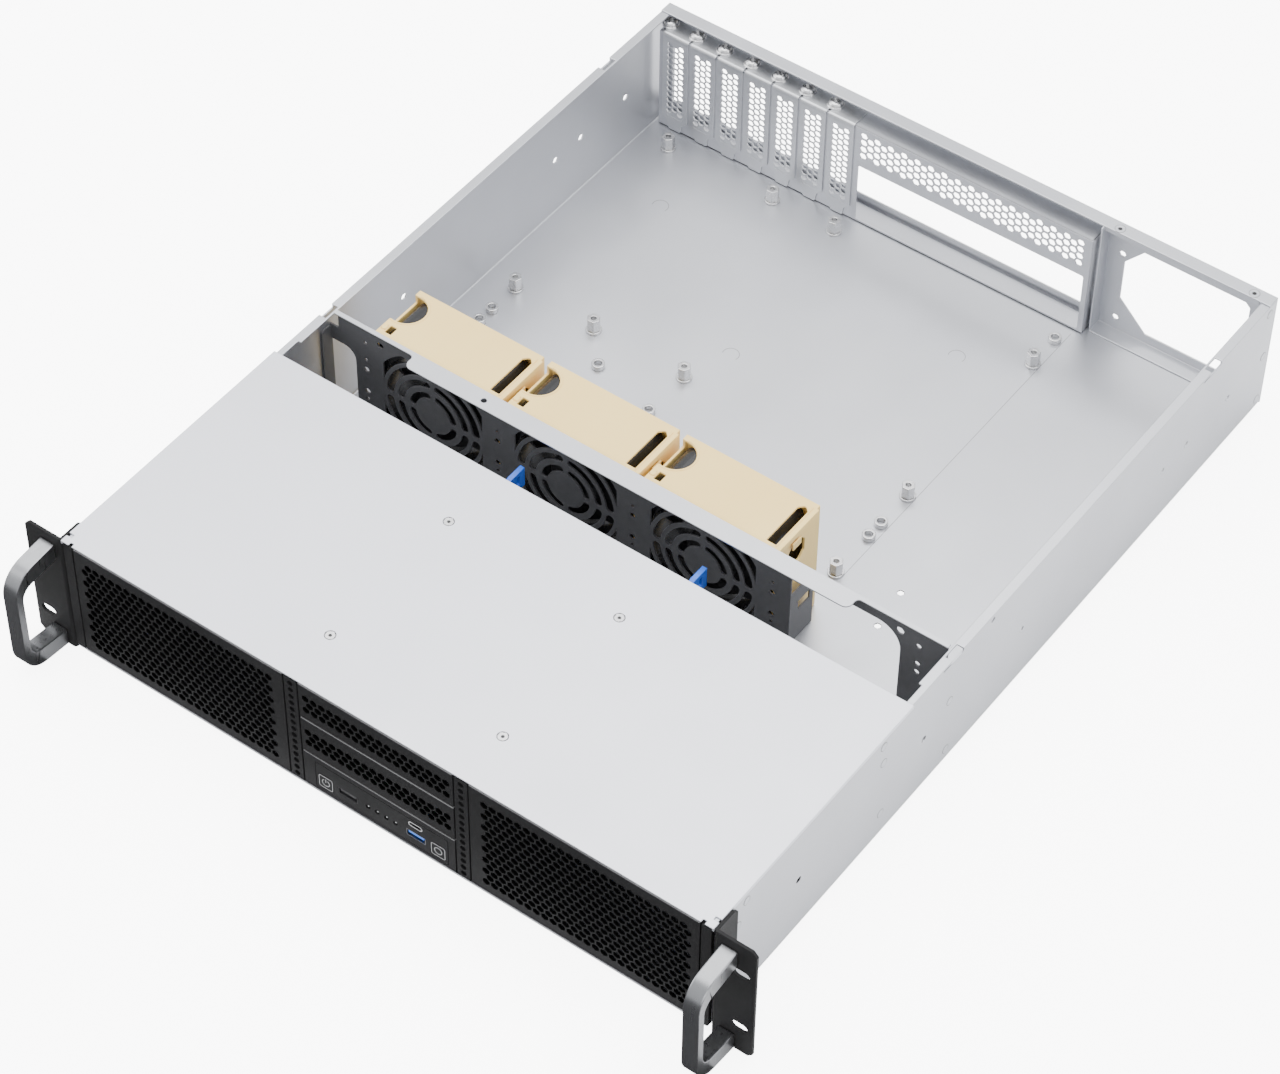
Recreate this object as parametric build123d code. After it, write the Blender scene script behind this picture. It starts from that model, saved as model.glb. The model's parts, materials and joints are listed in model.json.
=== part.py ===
from build123d import *
import math
import os

# An empty two-unit rackmount server case, lid off, with its front half covered.
# Modelled with X across, Y from the front panel to the rear wall and Z up from the
# underside of the tray. On export it is moved so that the middle of its box is on the origin.

# Overall size of the case body
body_w = 430.0
body_d = 552.0
body_h = 85.0

# Sheet metal
tray_t = 1.2
cover_t = 1.0
panel_t = 1.6
inner_t = 1.0
bend_r = 1.6
lay_gap = 0.1

# Where the computer board's first stud and middle row are, and the room ahead of them to the fan wall
board_inset_x = 24.5
board_inset_y = 32.0
board_row = 154.94
board_room = 142.06

# Tray: floor, side walls and the narrow flange along their tops
flange_w = 6.0
front_flange_w = 4.0
flange_step = 14.7
hook_ahead = 7.0
hook_back = 73.0
hook_l = 11.0
hook_slot_l = 8.0
side_hole_r = 2.3
side_hole_drop = 43.6
side_hole_front = 78.0
side_hole_wall = (-29.6, 65.6)
side_hole_back = (117.4, 92.0, 46.6)
lid_hole_behind = 32.5
lid_hole_drop = 5.0
lid_hole_r = 1.8
floor_hole_r = 2.1
floor_holes = ((86.1, 79.2), (82.8, 51.4))

# Front cover and its four screws
cover_short = 45.0
cover_lip = 2.6
cover_screw_x = 57.1
cover_screw_front = 34.6
cover_screw_back = 43.0
cover_screw_r = 2.9
thread_r = 1.4
screw_gap = 0.2
notch_w = 2.2
notch_in = 5.0

# Black front: frame with posts and strips, and the panels that stand in it
frame_t = 1.2
frame_z0 = 1.2
frame_flange_d = 7.0
frame_ledge = 2.4
post_w = 6.2
post_inset = 1.2
strip_w = 8.6
strip_x = 56.3
strip_holes = 5
strip_hole_r = 1.9
strip_end = 4.0
panel_gap = 0.9
panel_z0 = 1.3
panel_drop = 1.8
grille_pitch = 18.0
grille_margin = 24.0
grille_hole_r = 5.6
bay_gap = 0.5
bay_hole_r = 3.4
bay_hole_cols = 4
bay_hole_rise = 7.2

# Control strip: panel, two buttons, three ports, four lights
control_h = 27.6
button_w = 9.3
button_x = (-36.4, 39.5)
button_z = 11.0
button_travel = 1.0
button_gap = 0.3
button_depth = 5.0
button_stem = 3.0
stem_w = 3.0
switch_l = 6.0
usb_w = 13.1
usb_h = 5.2
usb_depth = 11.0
usb_x = -21.3
usb3_x = 24.6
usb_z = 11.8
tongue_half_w = 5.2
tongue_t = 1.5
tiny_port_w = 8.4
tiny_port_h = 2.6
tiny_port_z = 20.4
tiny_port_cut = 0.35
port_wall = 0.4
led_x = (-7.7, -1.5, 4.6, 10.8)
led_z = 12.5
led_r = 1.1
led_l = 9.0
board_t = 1.6
board_d = 20.0

# Rack ears and handles
ear_reach = 26.3
ear_over = 3.4
ear_drop = 4.0
ear_t = 2.0
ear_bend_r = 1.2
ear_flange_d = 17.6
ear_corner = 3.0
slot_l = 10.0
slot_h = 6.0
slot_inset = 8.75
slot_spacing_z = 44.45
slot_below_mid = 3.6
handle_out = 10.2
handle_w = 10.0
handle_short = 3.4
handle_below_mid = 5.1
handle_reach = 33.0
handle_foot_h = 11.6
handle_grip_t = 5.6
handle_taper = 3.3
handle_outer_r = 13.0
handle_inner_r = 5.0
handle_edge_r = 0.9
handle_screw_r = 2.0
handle_screw_head_r = 3.6
handle_screw_head_h = 2.4
handle_screw_l = 8.0

# Fans: as tall as the case allows, side by side from the left
fan_headroom = 5.0
fan_clear_z = 1.4
fan_first_inset = 35.8
fan_space = 13.8
fan_count = 3
fan_d = 36.0
fan_fit = 0.3
fan_rim = 2.0
fan_corner = 4.0
bore_sides = 24
hub_sides = 12
strut_w = 5.0
strut_t = 3.0
rotor_hub_r = 17.0
rotor_hub_d = 26.0
rotor_hub_cut = 2.0
rotor_tip_gap = 3.5
rotor_blades = 7
blade_root = 14.0
blade_sweep = 11.0
blade_chord = 15.0
blade_pitch = 38.0
blade_t = 1.6
axle_r = 2.0
axle_bore_r = 2.4

# Fan wall with its pressed guards, its top rail and the bracket beside the last fan
wall_t = 1.2
wall_notch_drop = 12.8
wall_notch_in = 8.7
wall_flange_d = 8.6
guard_rings = ((6.2, 5.3), (14.5, 4.6), (23.0, 4.3))
guard_rim = 3.6
guard_edge = 4.8
guard_corner = 11.0
guard_sides = 12
spoke_w = 3.0
left_open_w = 20.3
left_open_drop = 24.0
left_open_cut = 6.0
pass_gap = 18.4
pass_inset = 37.6
pass_drop = 9.5
pass_shoulder = (12.0, 13.8)
wall_holes = ((38.5, 9.5, 2.5), (26.5, 14.0, 1.7), (26.5, 28.0, 1.7), (26.5, 34.7, 1.7))
rail_d = 11.0
rail_t = 1.0
rail_inset = 7.7
rail_cut_inset = 65.0
rail_cut_d = 1.8
rail_cut_run = 6.0
rail_hole_ahead = 5.4
rail_hole_side = 12.1
rail_hole_r = 1.8
bracket_out = 11.9
bracket_d = 31.0
bracket_h = 41.0
bracket_foot = 6.0
bracket_slot = (17.6, 28.5, 24.6, 31.0)

# Fan carriers: a moulded housing around each fan
housing_left = 1.9
housing_right = 8.4
housing_wall_in = 1.4
housing_d = 41.0
housing_drop = 2.0
housing_t = 1.6
housing_back_t = 2.0
housing_lip_d = 38.0
housing_lip_h = 4.0
module_gap = 0.3
wall_stand_off = 0.8
finger_r = 11.5
finger_in = 1.9
finger_y = 25.0
latch_in = (2.6, 7.0)
latch_y = (3.2, 9.3)
vent_out = (-2.2, 4.2)
vent_y = (3.2, 35.5)
vent_corner = 2.6
side_window = (12.0, 27.0, 27.0, 10.0)
side_window_cut = 4.0

# Drive cage behind the bay covers, its shelves and the two blue levers
cage_half_w = 60.0
cage_front = 9.0
cage_past_cover = 12.0
cage_flange = 10.0
shelf_lip = 7.0
shelf_short = 25.0
lever_t = 3.2
lever_gap = 0.4
lever_pin_in = 4.0
lever_pin_drop = 28.0
lever_reach = 20.0
lever_top_drop = 20.5
lever_pin_r = 1.6
lever_bore_r = 2.1
lever_heel = 4.5
lever_flat_l = 11.0

# Rear: outer wall, recessed slot panel, seven covers and their screws
rear_flange_d = 9.0
rear_lip = 2.4
rear_foot_d = 12.0
rear_side_d = 11.0
window_inset = 6.0
window_z0 = 8.7
window_drop = 9.6
window_gap = 0.5
side_flange_gap = 1.9
psu_gap = 11.9
psu_inset = 17.0
psu_z0 = 8.5
psu_drop = 14.3
psu_cut = (12.0, 14.0)
psu_foot_cut = (19.0, 19.0)
psu_corner = 3.0
psu_holes = ((10.0, 62.1), (10.6, 11.0))
psu_hole_r = 2.1
slot_panel_inset = 5.6
slot_panel_back = 16.4
slot_panel_z0 = 1.9
slot_panel_drop = 8.6
slot_shelf_back = 1.6
io_gap = 13.3
io_w = 159.0
io_z0 = 3.4
io_drop = 30.2
io_edge = 3.5
vent_end = 7.5
vent_drop = (8.9, 20.4)
vent_strip_cols = 7
vent_hole_r = 4.4
slot_pitch = 20.32
slot_first_inset = 18.3
slot_count = 7
cover_plate_w = 18.7
cover_plate_z0 = 11.0
cover_window_w = 13.0
cover_window_ends = (3.0, 5.0)
cover_hole_r = 4.2
cover_hole_off = 2.2
cover_hole_z = (23.0, 15.4)
cover_hole_rows = 3
tongue_w = 10.0
tongue_jog = 2.6
tongue_bend_z = (8.6, 6.4)
slot_screw_dx = -10.0
slot_screw_back = 8.7
slot_screw_head_r = 3.5
slot_screw_head_h = 2.2
slot_screw_l = 5.0
slot_washer_r = 4.5
slot_washer_t = 0.7

# Board studs and low press nuts on the floor: steps from the first stud, or from the middle row
stud_af = 7.4
stud_h = 10.0
stud_foot_r = 4.9
stud_foot_h = 1.4
stud_bore_r = 1.6
stud_bore_h = 5.0
stud_rear_steps = ((0.0, 0.0), (124.46, 0.0), (281.94, 22.86), (78.74, 0.0))
stud_row_steps = ((0.0, 0.0), (124.46, 0.0), (281.94, 0.0), (281.94, 72.39), (58.42, 0.0))
low_nut_r = 4.0
low_nut_h = 3.4
low_nut_bore_r = 2.3
low_nut_rear_steps = ((281.9, -1.4),)
low_nut_row_steps = ((0.0, 22.9), (78.8, 22.9), (281.9, 27.1), (281.9, 39.5), (0.0, 35.1), (124.5, 35.1))


def stepped(start, steps):
    """Places on the floor, each a step across and a step forward from the start."""
    return [(start[0] + dx, start[1] - dy) for dx, dy in steps]


# Values that follow from those above
half_w = body_w / 2.0
tray_w = body_w - 2.0 * (cover_t + lay_gap)
tray_top = body_h - cover_t
rear_y = body_d - tray_t
inner_half = tray_w / 2.0 - tray_t
frame_y = panel_t
frame_back = frame_y + frame_t
first_stud = (-half_w + board_inset_x, body_d - board_inset_y)
middle_row = (first_stud[0], first_stud[1] - board_row)
wall_y = middle_row[1] - board_room
cover_d = wall_y - cover_short
panel_top = body_h - panel_drop
post_x = half_w - post_inset - post_w
grille_x0 = strip_x + strip_w / 2.0 + panel_gap
grille_x1 = post_x - panel_gap
bay_x1 = strip_x - strip_w / 2.0 - panel_gap
bay_h = (panel_top - panel_z0 - control_h - bay_gap) / 2.0
divider_z = (panel_top - bay_h, panel_z0 + control_h)
rack_half = half_w + ear_reach
handle_x = half_w + handle_out
handle_h = body_h - handle_short
handle_mid_z = body_h / 2.0 - handle_below_mid
fan_w = body_h - fan_headroom
fan_z = fan_w / 2.0 + fan_clear_z
fan_bore_r = fan_w / 2.0 - fan_rim
fan_half = fan_w / 2.0
fan_x = [-half_w + fan_first_inset + fan_half + (fan_w + fan_space) * k for k in range(fan_count)]
housing_y = wall_y + wall_t + wall_stand_off
housing_top = body_h - housing_drop
fan_y = housing_y + 1.0
pass_x = (fan_x[-1] + fan_half + pass_gap, half_w - pass_inset)
bracket_x = fan_x[-1] + fan_half + bracket_out
cage_y = (cage_front, cover_d + cage_past_cover)
lever_pin_y = cage_y[1] - lever_pin_in
lever_pin_z = body_h - lever_pin_drop
slot_panel_y = body_d - slot_panel_back
slot_shelf_z = body_h - slot_panel_drop
slot_shelf_end = body_d - slot_shelf_back
slot_screw_y = body_d - slot_screw_back
slot_x = [-half_w + slot_first_inset + slot_pitch * k for k in range(slot_count)]
io_x = (slot_x[-1] + io_gap, slot_x[-1] + io_gap + io_w)
slot_panel_x = (-half_w + slot_panel_inset, io_x[1] + io_edge)
window_x1 = slot_panel_x[1] + window_gap
rear_flange_x = window_x1 + side_flange_gap
stud_spots = stepped(first_stud, stud_rear_steps) + stepped(middle_row, stud_row_steps)
low_nut_spots = stepped(first_stud, low_nut_rear_steps) + stepped(middle_row, low_nut_row_steps)
move_to_origin = Pos(0, -(body_d - handle_reach) / 2.0, ear_drop)


def block(x0, x1, y0, y1, z0, z1):
    """A bar between two corners."""
    centre = Pos((x0 + x1) / 2.0, (y0 + y1) / 2.0, (z0 + z1) / 2.0)
    return centre * Box(abs(x1 - x0), abs(y1 - y0), abs(z1 - z0))


def along_x(face, x0, x1):
    """A face drawn in Y and Z, given its length in X."""
    return extrude(Plane.YZ.offset(x0) * face, x1 - x0)


def along_y(face, y0, y1):
    """A face drawn in X and Z, given its length in Y."""
    return extrude(Plane.XZ.offset(-y1) * face, y1 - y0)


def along_z(face, z0, z1):
    """A face drawn in X and Y, given its height."""
    return extrude(Plane.XY.offset(z0) * face, z1 - z0)


def rect(x0, x1, z0, z1):
    """A rectangle face between two corners."""
    return Pos((x0 + x1) / 2.0, (z0 + z1) / 2.0) * Rectangle(abs(x1 - x0), abs(z1 - z0))


def polygon(*points):
    """A face with straight edges."""
    return make_face(Polyline(*points, close=True))


def fold(points, thickness, radius=bend_r):
    """The edge-on face of a sheet bent along a path of its mid line."""
    return trace(FilletPolyline(*points, radius=radius), thickness)


def mirrored(shape):
    """The same piece on the other side of the case."""
    return mirror(shape, about=Plane.YZ)


def hexagon(x, z, radius):
    """One six-sided hole."""
    return Pos(x, z) * RegularPolygon(radius, 6, rotation=30)


def few_sided(x, y, radius, sides=6):
    """A small round hole or bar, drawn with few sides because it is repeated."""
    return Pos(x, y) * RegularPolygon(radius, sides)


def staggered(x0, x1, z0, z1, columns, rows, radius):
    """Six-sided holes in rows, each second row shifted by half a pitch."""
    step = (x1 - x0) / (columns - 0.5)
    drop = (z1 - z0) / (rows - 1)
    return [
        hexagon(x0 + step * (c + 0.5 * (r % 2)), z1 - drop * r, radius)
        for r in range(rows)
        for c in range(columns)
    ]


def screw(x, y, z, head_r, head_h, length, shank_r):
    """A flat headed screw standing upright, its head above z."""
    head = along_z(few_sided(x, y, head_r), z, z + head_h)
    shank = along_z(few_sided(x, y, shank_r), z - length, z)
    return head + shank


def base_tub():
    """The tray: one sheet folded into a floor, two side walls and their top flanges."""
    half = tray_w / 2.0 - tray_t / 2.0
    top = tray_top - tray_t / 2.0
    lip = tray_w / 2.0 - flange_w
    low = tray_t / 2.0
    path = FilletPolyline((-half, top), (-half, low), (half, low), (half, top), radius=bend_r)
    path += Line((-lip, top), (-half, top)) + Line((half, top), (lip, top))
    tray = along_y(trace(path, tray_t), 0, rear_y)
    narrow = tray_w / 2.0 - front_flange_w
    for side in (-1, 1):
        tray -= block(side * narrow, side * (lip - 1), cover_d, cover_d + flange_step, top - 2, tray_top + 1)
        for y in (wall_y - hook_ahead, body_d - hook_back):
            tray -= block(side * (narrow - 0.6), side * body_w, y, y + hook_l, top - 2, tray_top + 1)
            tray -= block(side * inner_half, side * body_w, y - hook_slot_l, y, top - 2, top - 0.6)
    side_hole_y = [side_hole_front, *(wall_y + step for step in side_hole_wall)]
    side_hole_y += [body_d - back for back in side_hole_back]
    holes = [few_sided(y, body_h - side_hole_drop, side_hole_r) for y in side_hole_y]
    holes.append(few_sided(wall_y + lid_hole_behind, body_h - lid_hole_drop, lid_hole_r))
    for side in (-1, 1):
        reach = sorted((side * (inner_half - 1), side * body_w / 2.0))
        tray -= [along_x(hole, *reach) for hole in holes]
    for in_x, behind in floor_holes:
        tray -= along_z(few_sided(half_w - in_x, wall_y + behind, floor_hole_r), -1, 2 * tray_t)
    return tray - block(-body_w, body_w, -1, frame_back, frame_z0, body_h)


def front_cover():
    """The fixed cover over the front half, with lips that hang over the tray's walls."""
    top = body_h - cover_t / 2.0
    half = body_w / 2.0 - cover_t / 2.0
    path = Polyline((-half, body_h - cover_lip), (-half, top), (half, top), (half, body_h - cover_lip))
    cover = along_y(trace(path, cover_t), 0, cover_d)
    for x, y in cover_screw_spots():
        cover -= along_z(few_sided(x, y, cover_screw_r + screw_gap), tray_top - 1, body_h + 1)
    for side in (-1, 1):
        inner = side * (half - notch_in)
        cover -= block(inner, inner - side * notch_w, -1, notch_w, tray_top - 1, body_h + 1)
        cover -= block(side * (half - 3), side * body_w, notch_in, notch_in + notch_w, 0, body_h + 1)
    return cover


def cover_screw_spots():
    rows = (cover_screw_front, cover_d - cover_screw_back)
    return [(x, y) for y in rows for x in (-cover_screw_x, cover_screw_x)]


def cover_screws():
    """Four countersunk screws that hold the cover to the drive cage."""
    pieces = []
    for x, y in cover_screw_spots():
        pieces.append(screw(x, y, tray_top, cover_screw_r - screw_gap, cover_t, 4.0, thread_r))
    return Compound(children=pieces)


def front_frame():
    """The black frame at the front: a plate with windows, two posts and two strips of holes."""
    back = frame_back
    edge = post_x + post_w
    plate = rect(-edge, edge, frame_z0, panel_top)
    ledge = frame_ledge
    for x0, x1 in ((-grille_x1, -grille_x0), (-bay_x1, bay_x1), (grille_x0, grille_x1)):
        plate -= rect(x0 + ledge, x1 - ledge, panel_z0 + ledge, panel_top - ledge)
    frame = along_y(plate, frame_y, back)
    strip = strip_w / 2.0
    for side in (-1, 1):
        frame += block(side * post_x, side * edge, 0, frame_y, frame_z0, panel_top)
        frame += block(side * (strip_x - strip), side * (strip_x + strip), 0, frame_y, frame_z0, panel_top)
        rise = (panel_top - frame_z0 - 2 * strip_end) / (strip_holes - 1)
        holes = [
            hexagon(side * strip_x, frame_z0 + strip_end + rise * k, strip_hole_r) for k in range(strip_holes)
        ]
        frame -= along_y(Sketch() + holes, -1, back + 1)
    lid_flange = inner_half - flange_w - 1.0
    frame += block(-lid_flange, lid_flange, frame_y, frame_y + frame_flange_d, tray_top - frame_t, tray_top)
    return frame


def panel_sheet(x0, x1, z0, z1, holes):
    """A front panel with holes in its face."""
    return along_y(rect(x0, x1, z0, z1) - holes, 0, panel_t)


def grille_left():
    """The left air grille, a field of six-sided holes."""
    mid_z = (panel_z0 + panel_top) / 2.0
    mid_x = -(grille_x0 + grille_x1) / 2.0
    row_pitch = grille_pitch * math.cos(math.radians(30))
    grille_cols = int((grille_x1 - grille_x0 - grille_margin) / grille_pitch)
    grille_rows = int((panel_top - panel_z0 - grille_margin / 2.0) / row_pitch)
    span = grille_pitch * (grille_cols - 0.5)
    rise = row_pitch * (grille_rows - 1)
    holes = staggered(
        mid_x - span / 2.0, mid_x + span / 2.0, mid_z - rise / 2.0, mid_z + rise / 2.0,
        grille_cols, grille_rows, grille_hole_r,
    )
    return panel_sheet(-grille_x1, -grille_x0, panel_z0, panel_top, holes)


def bay_cover(index):
    """A blank drive bay cover with two rows of holes."""
    top = panel_top - index * (bay_h + bay_gap)
    low = top - bay_h + panel_gap / 2.0
    z0 = (top + low - bay_hole_rise) / 2.0
    reach = bay_x1 - 2.0 * bay_hole_r
    holes = staggered(-reach, reach, z0, z0 + bay_hole_rise, bay_hole_cols, 2, bay_hole_r)
    return panel_sheet(-bay_x1, bay_x1, low, top, holes)


def control_panel():
    """The control strip below the bays, open for its buttons, ports and lights."""
    top = divider_z[1] - panel_gap / 2.0
    face = rect(-bay_x1, bay_x1, panel_z0, top)
    side = button_w + 2.0 * button_gap
    for x in button_x:
        face -= rect(x - side / 2.0, x + side / 2.0, button_z - side / 2.0, button_z + side / 2.0)
    for x in (usb_x, usb3_x):
        face -= rect(x - usb_w / 2.0, x + usb_w / 2.0, usb_z - usb_h / 2.0, usb_z + usb_h / 2.0)
    face -= oval(tiny_port_w, tiny_port_h)
    face -= [few_sided(x, led_z, led_r) for x in led_x]
    return along_y(face, 0, panel_t)


def push_button(x):
    """A square push button with a stem towards its switch."""
    half = button_w / 2.0
    cap = block(x - half, x + half, 0, button_depth, button_z - half, button_z + half)
    stem = along_y(Pos(x, button_z) * Rectangle(stem_w, stem_w), button_depth, button_depth + button_stem)
    return cap + stem


def usb_port(x):
    """A flat rectangular socket: a folded metal shell around a tongue."""
    outer = rect(x - usb_w / 2.0, x + usb_w / 2.0, usb_z - usb_h / 2.0, usb_z + usb_h / 2.0)
    inner = rect(
        x - usb_w / 2.0 + port_wall, x + usb_w / 2.0 - port_wall,
        usb_z - usb_h / 2.0 + port_wall, usb_z + usb_h / 2.0 - port_wall,
    )
    shell = along_y(outer - inner, 0.1, usb_depth)
    back = along_y(inner, usb_depth - 1.0, usb_depth)
    tongue = block(x - tongue_half_w, x + tongue_half_w, panel_t, usb_depth - 1.0, usb_z, usb_z + tongue_t)
    return shell + back + tongue


def oval(width, height):
    """The outline of the small port: a bar with cut corners."""
    bar = Rectangle(width, height)
    return Pos(usb3_x, tiny_port_z) * chamfer(bar.vertices(), height * tiny_port_cut)


def tiny_port():
    """A small oval socket above the wider one."""
    hollow = oval(tiny_port_w - 2 * port_wall, tiny_port_h - 2 * port_wall)
    shell = along_y(oval(tiny_port_w, tiny_port_h) - hollow, 0.1, usb_depth)
    back = along_y(hollow, usb_depth - 1.0, usb_depth)
    return shell + back


def led_lenses():
    """Four small light pipes."""
    return Compound(children=[along_y(few_sided(x, led_z, led_r - 0.1), 0.3, led_l) for x in led_x])


def control_board():
    """The circuit board behind the control strip, with a switch block behind each button."""
    y0 = button_depth + button_travel + button_gap
    low = usb_z - usb_h / 2.0 - board_t
    board = block(-bay_x1 + 3, bay_x1 - 3, y0, y0 + board_d, low, low + board_t)
    switch_y = button_depth + button_stem + button_travel + button_gap
    for x in button_x:
        z0, z1 = low + board_t, button_z + stem_w
        board += block(x - stem_w, x + stem_w, switch_y, switch_y + switch_l, z0, z1)
    board += block(led_x[0] - 2, led_x[-1] + 2, led_l + 0.1, led_l + 2.0, low + board_t, led_z + 1.5)
    board += block(usb3_x - 4, usb3_x + 4, usb_depth + 0.1, usb_depth + 2.0, low + board_t, tiny_port_z + 2)
    return board


def corner_cut(edge, z, up, size):
    """The waste outside a bevelled corner of a sheet whose edges are at edge and z."""
    return polygon(
        (edge + 1, z - up), (edge + 1, z + up * size), (edge, z + up * size), (edge - size, z), (edge - size, z - up)
    )


def ear_right():
    """The ear on the +X side: a face plate with two slots and a side flange against the case."""
    inner = half_w
    z0 = -ear_drop
    z1 = body_h + ear_over - ear_drop
    mid = ear_t / 2.0
    end = ear_flange_d + mid
    path = [(rack_half, mid), (inner + mid, mid), (inner + mid, end)]
    ear = along_z(fold(path, ear_t, ear_bend_r), z0, z1)
    for z, up in ((z0, 1), (z1, -1)):
        ear -= along_y(corner_cut(rack_half, z, up, ear_corner), -1, ear_t + 1)
        ear -= along_x(corner_cut(end, z, up, ear_corner), inner - 1, inner + ear_t + 1)
    for dz in (-slot_spacing_z / 2.0, slot_spacing_z / 2.0):
        slot = Pos(rack_half - slot_inset, body_h / 2.0 - slot_below_mid + dz) * SlotOverall(slot_l, slot_h)
        ear -= along_y(slot, -1, ear_t + 1)
    for z in handle_screw_z():
        ear -= along_y(few_sided(handle_x, z, handle_screw_r + screw_gap), -1, ear_t + 1)
    return ear


def handle_screw_z():
    foot = handle_h / 2.0 - handle_foot_h / 2.0
    return (handle_mid_z - foot, handle_mid_z + foot)


def handle_right():
    """The handle on the +X side: a flat D shape whose arms taper from the ear to the grip."""
    top = handle_h / 2.0
    foot = handle_foot_h
    inner = top - foot
    grip = top - handle_taper
    outer_line = [(0, -top), (-handle_reach, -grip), (-handle_reach, grip), (0, top)]
    grip = -handle_reach + handle_grip_t
    inner_line = [(0, -inner), (grip, -inner + handle_taper), (grip, inner - handle_taper), (0, inner)]
    outer = FilletPolyline(*outer_line, radius=handle_outer_r)
    gap = FilletPolyline(*inner_line, radius=handle_inner_r)
    bow = make_face(outer + Line((0, top), (0, -top))) - make_face(gap + Line((0, inner), (0, -inner)))
    x0 = handle_x - handle_w / 2.0
    handle = along_x(Pos(0, handle_mid_z) * bow, x0, x0 + handle_w)
    rims = handle.edges().filter_by(Axis.X, reverse=True)
    handle = chamfer(rims.filter_by(lambda edge: edge.center().Y < -0.01), handle_edge_r)
    for z in handle_screw_z():
        handle -= along_y(few_sided(handle_x, z, handle_screw_r + screw_gap), -handle_screw_l, 1)
    return handle


def handle_screws():
    """Four screws from behind the ears into the handles' feet."""
    pieces = []
    for side in (-1, 1):
        for z in handle_screw_z():
            head = few_sided(side * handle_x, z, handle_screw_head_r)
            shank = few_sided(side * handle_x, z, handle_screw_r)
            head = along_y(head, ear_t, ear_t + handle_screw_head_h)
            shank = along_y(shank, -handle_screw_l + 1.0, ear_t)
            pieces.append(head + shank)
    return Compound(children=pieces)


def fan_guard(x):
    """The openings cut for one fan: broken rings between four spokes, and four corners."""
    cuts = Sketch()
    for rim, width in guard_rings:
        outer = fan_w / 2.0 - rim
        cuts += RegularPolygon(outer, guard_sides) - RegularPolygon(outer - width, guard_sides)
    side = fan_w - 2.0 * guard_edge
    square = chamfer(Rectangle(side, side).vertices(), guard_corner)
    cuts += square - RegularPolygon(fan_w / 2.0 - guard_rim, guard_sides)
    cuts -= Rectangle(spoke_w, fan_w)
    cuts -= Rectangle(fan_w, spoke_w)
    return Pos(x, fan_z) * cuts


def fan_wall():
    """The cross wall that carries the fans, with three pressed guards and two cable openings."""
    low = tray_t
    half = inner_half - lay_gap
    foot = low + bend_r
    notch_z = body_h - wall_notch_drop
    notch_x = half_w - wall_notch_in
    right = [(half - bend_r, low), (half, foot), (half, notch_z), (notch_x, notch_z), (notch_x, tray_top)]
    face = polygon(*right, *[(-x, z) for x, z in reversed(right)])
    opening = rect(-half - 1, -half_w + left_open_w, -1, body_h - left_open_drop)
    corner = opening.vertices().sort_by(Axis.X)[-2:].sort_by(Axis.Y)[-1]
    face -= chamfer(corner, left_open_cut)
    x0, x1 = pass_x
    dx, dz = pass_shoulder
    top = body_h - pass_drop
    passage = polygon((x0, -1), (x1, -1), (x1, top - dz), (x1 - dx, top), (x0 + dx, top), (x0, top - dz))
    face -= passage
    for x in fan_x:
        face -= fan_guard(x)
    face -= [few_sided(half_w - inset, body_h - drop, r) for inset, drop, r in wall_holes]
    wall = along_y(face, wall_y, wall_y + wall_t)
    for side in (-1, 1):
        wall += block(side * (half - wall_t), side * half, wall_y - wall_flange_d, wall_y, foot, notch_z)
    return wall


def wall_top_rail():
    """The flat rail along the top of the fan wall."""
    half = half_w - rail_inset
    cut_x = half_w - rail_cut_inset
    cut_y = wall_y - rail_cut_d
    right = [(cut_x, wall_y - rail_d), (cut_x + rail_cut_run, cut_y), (half, cut_y), (half, wall_y + wall_t)]
    outline = polygon(*right, *[(-x, y) for x, y in reversed(right)])
    outline -= few_sided(fan_x[1] - fan_half - rail_hole_side, wall_y - rail_hole_ahead, rail_hole_r)
    return along_z(outline, tray_top, tray_top + rail_t)


def fan_end_bracket():
    """The dark bracket behind the wall, beside the last fan, with a flange turned along the wall."""
    y0 = wall_y + wall_t
    mid = y0 + inner_t / 2.0
    path = [(bracket_x + bracket_foot, mid), (bracket_x, mid), (bracket_x, y0 + bracket_d)]
    bracket = along_z(fold(path, inner_t, inner_t), tray_t, tray_t + bracket_h)
    y1, y2, z1, z2 = bracket_slot
    bracket -= block(bracket_x - inner_t, bracket_x + inner_t, wall_y + y1, wall_y + y2, z1, z2)
    return bracket


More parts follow.
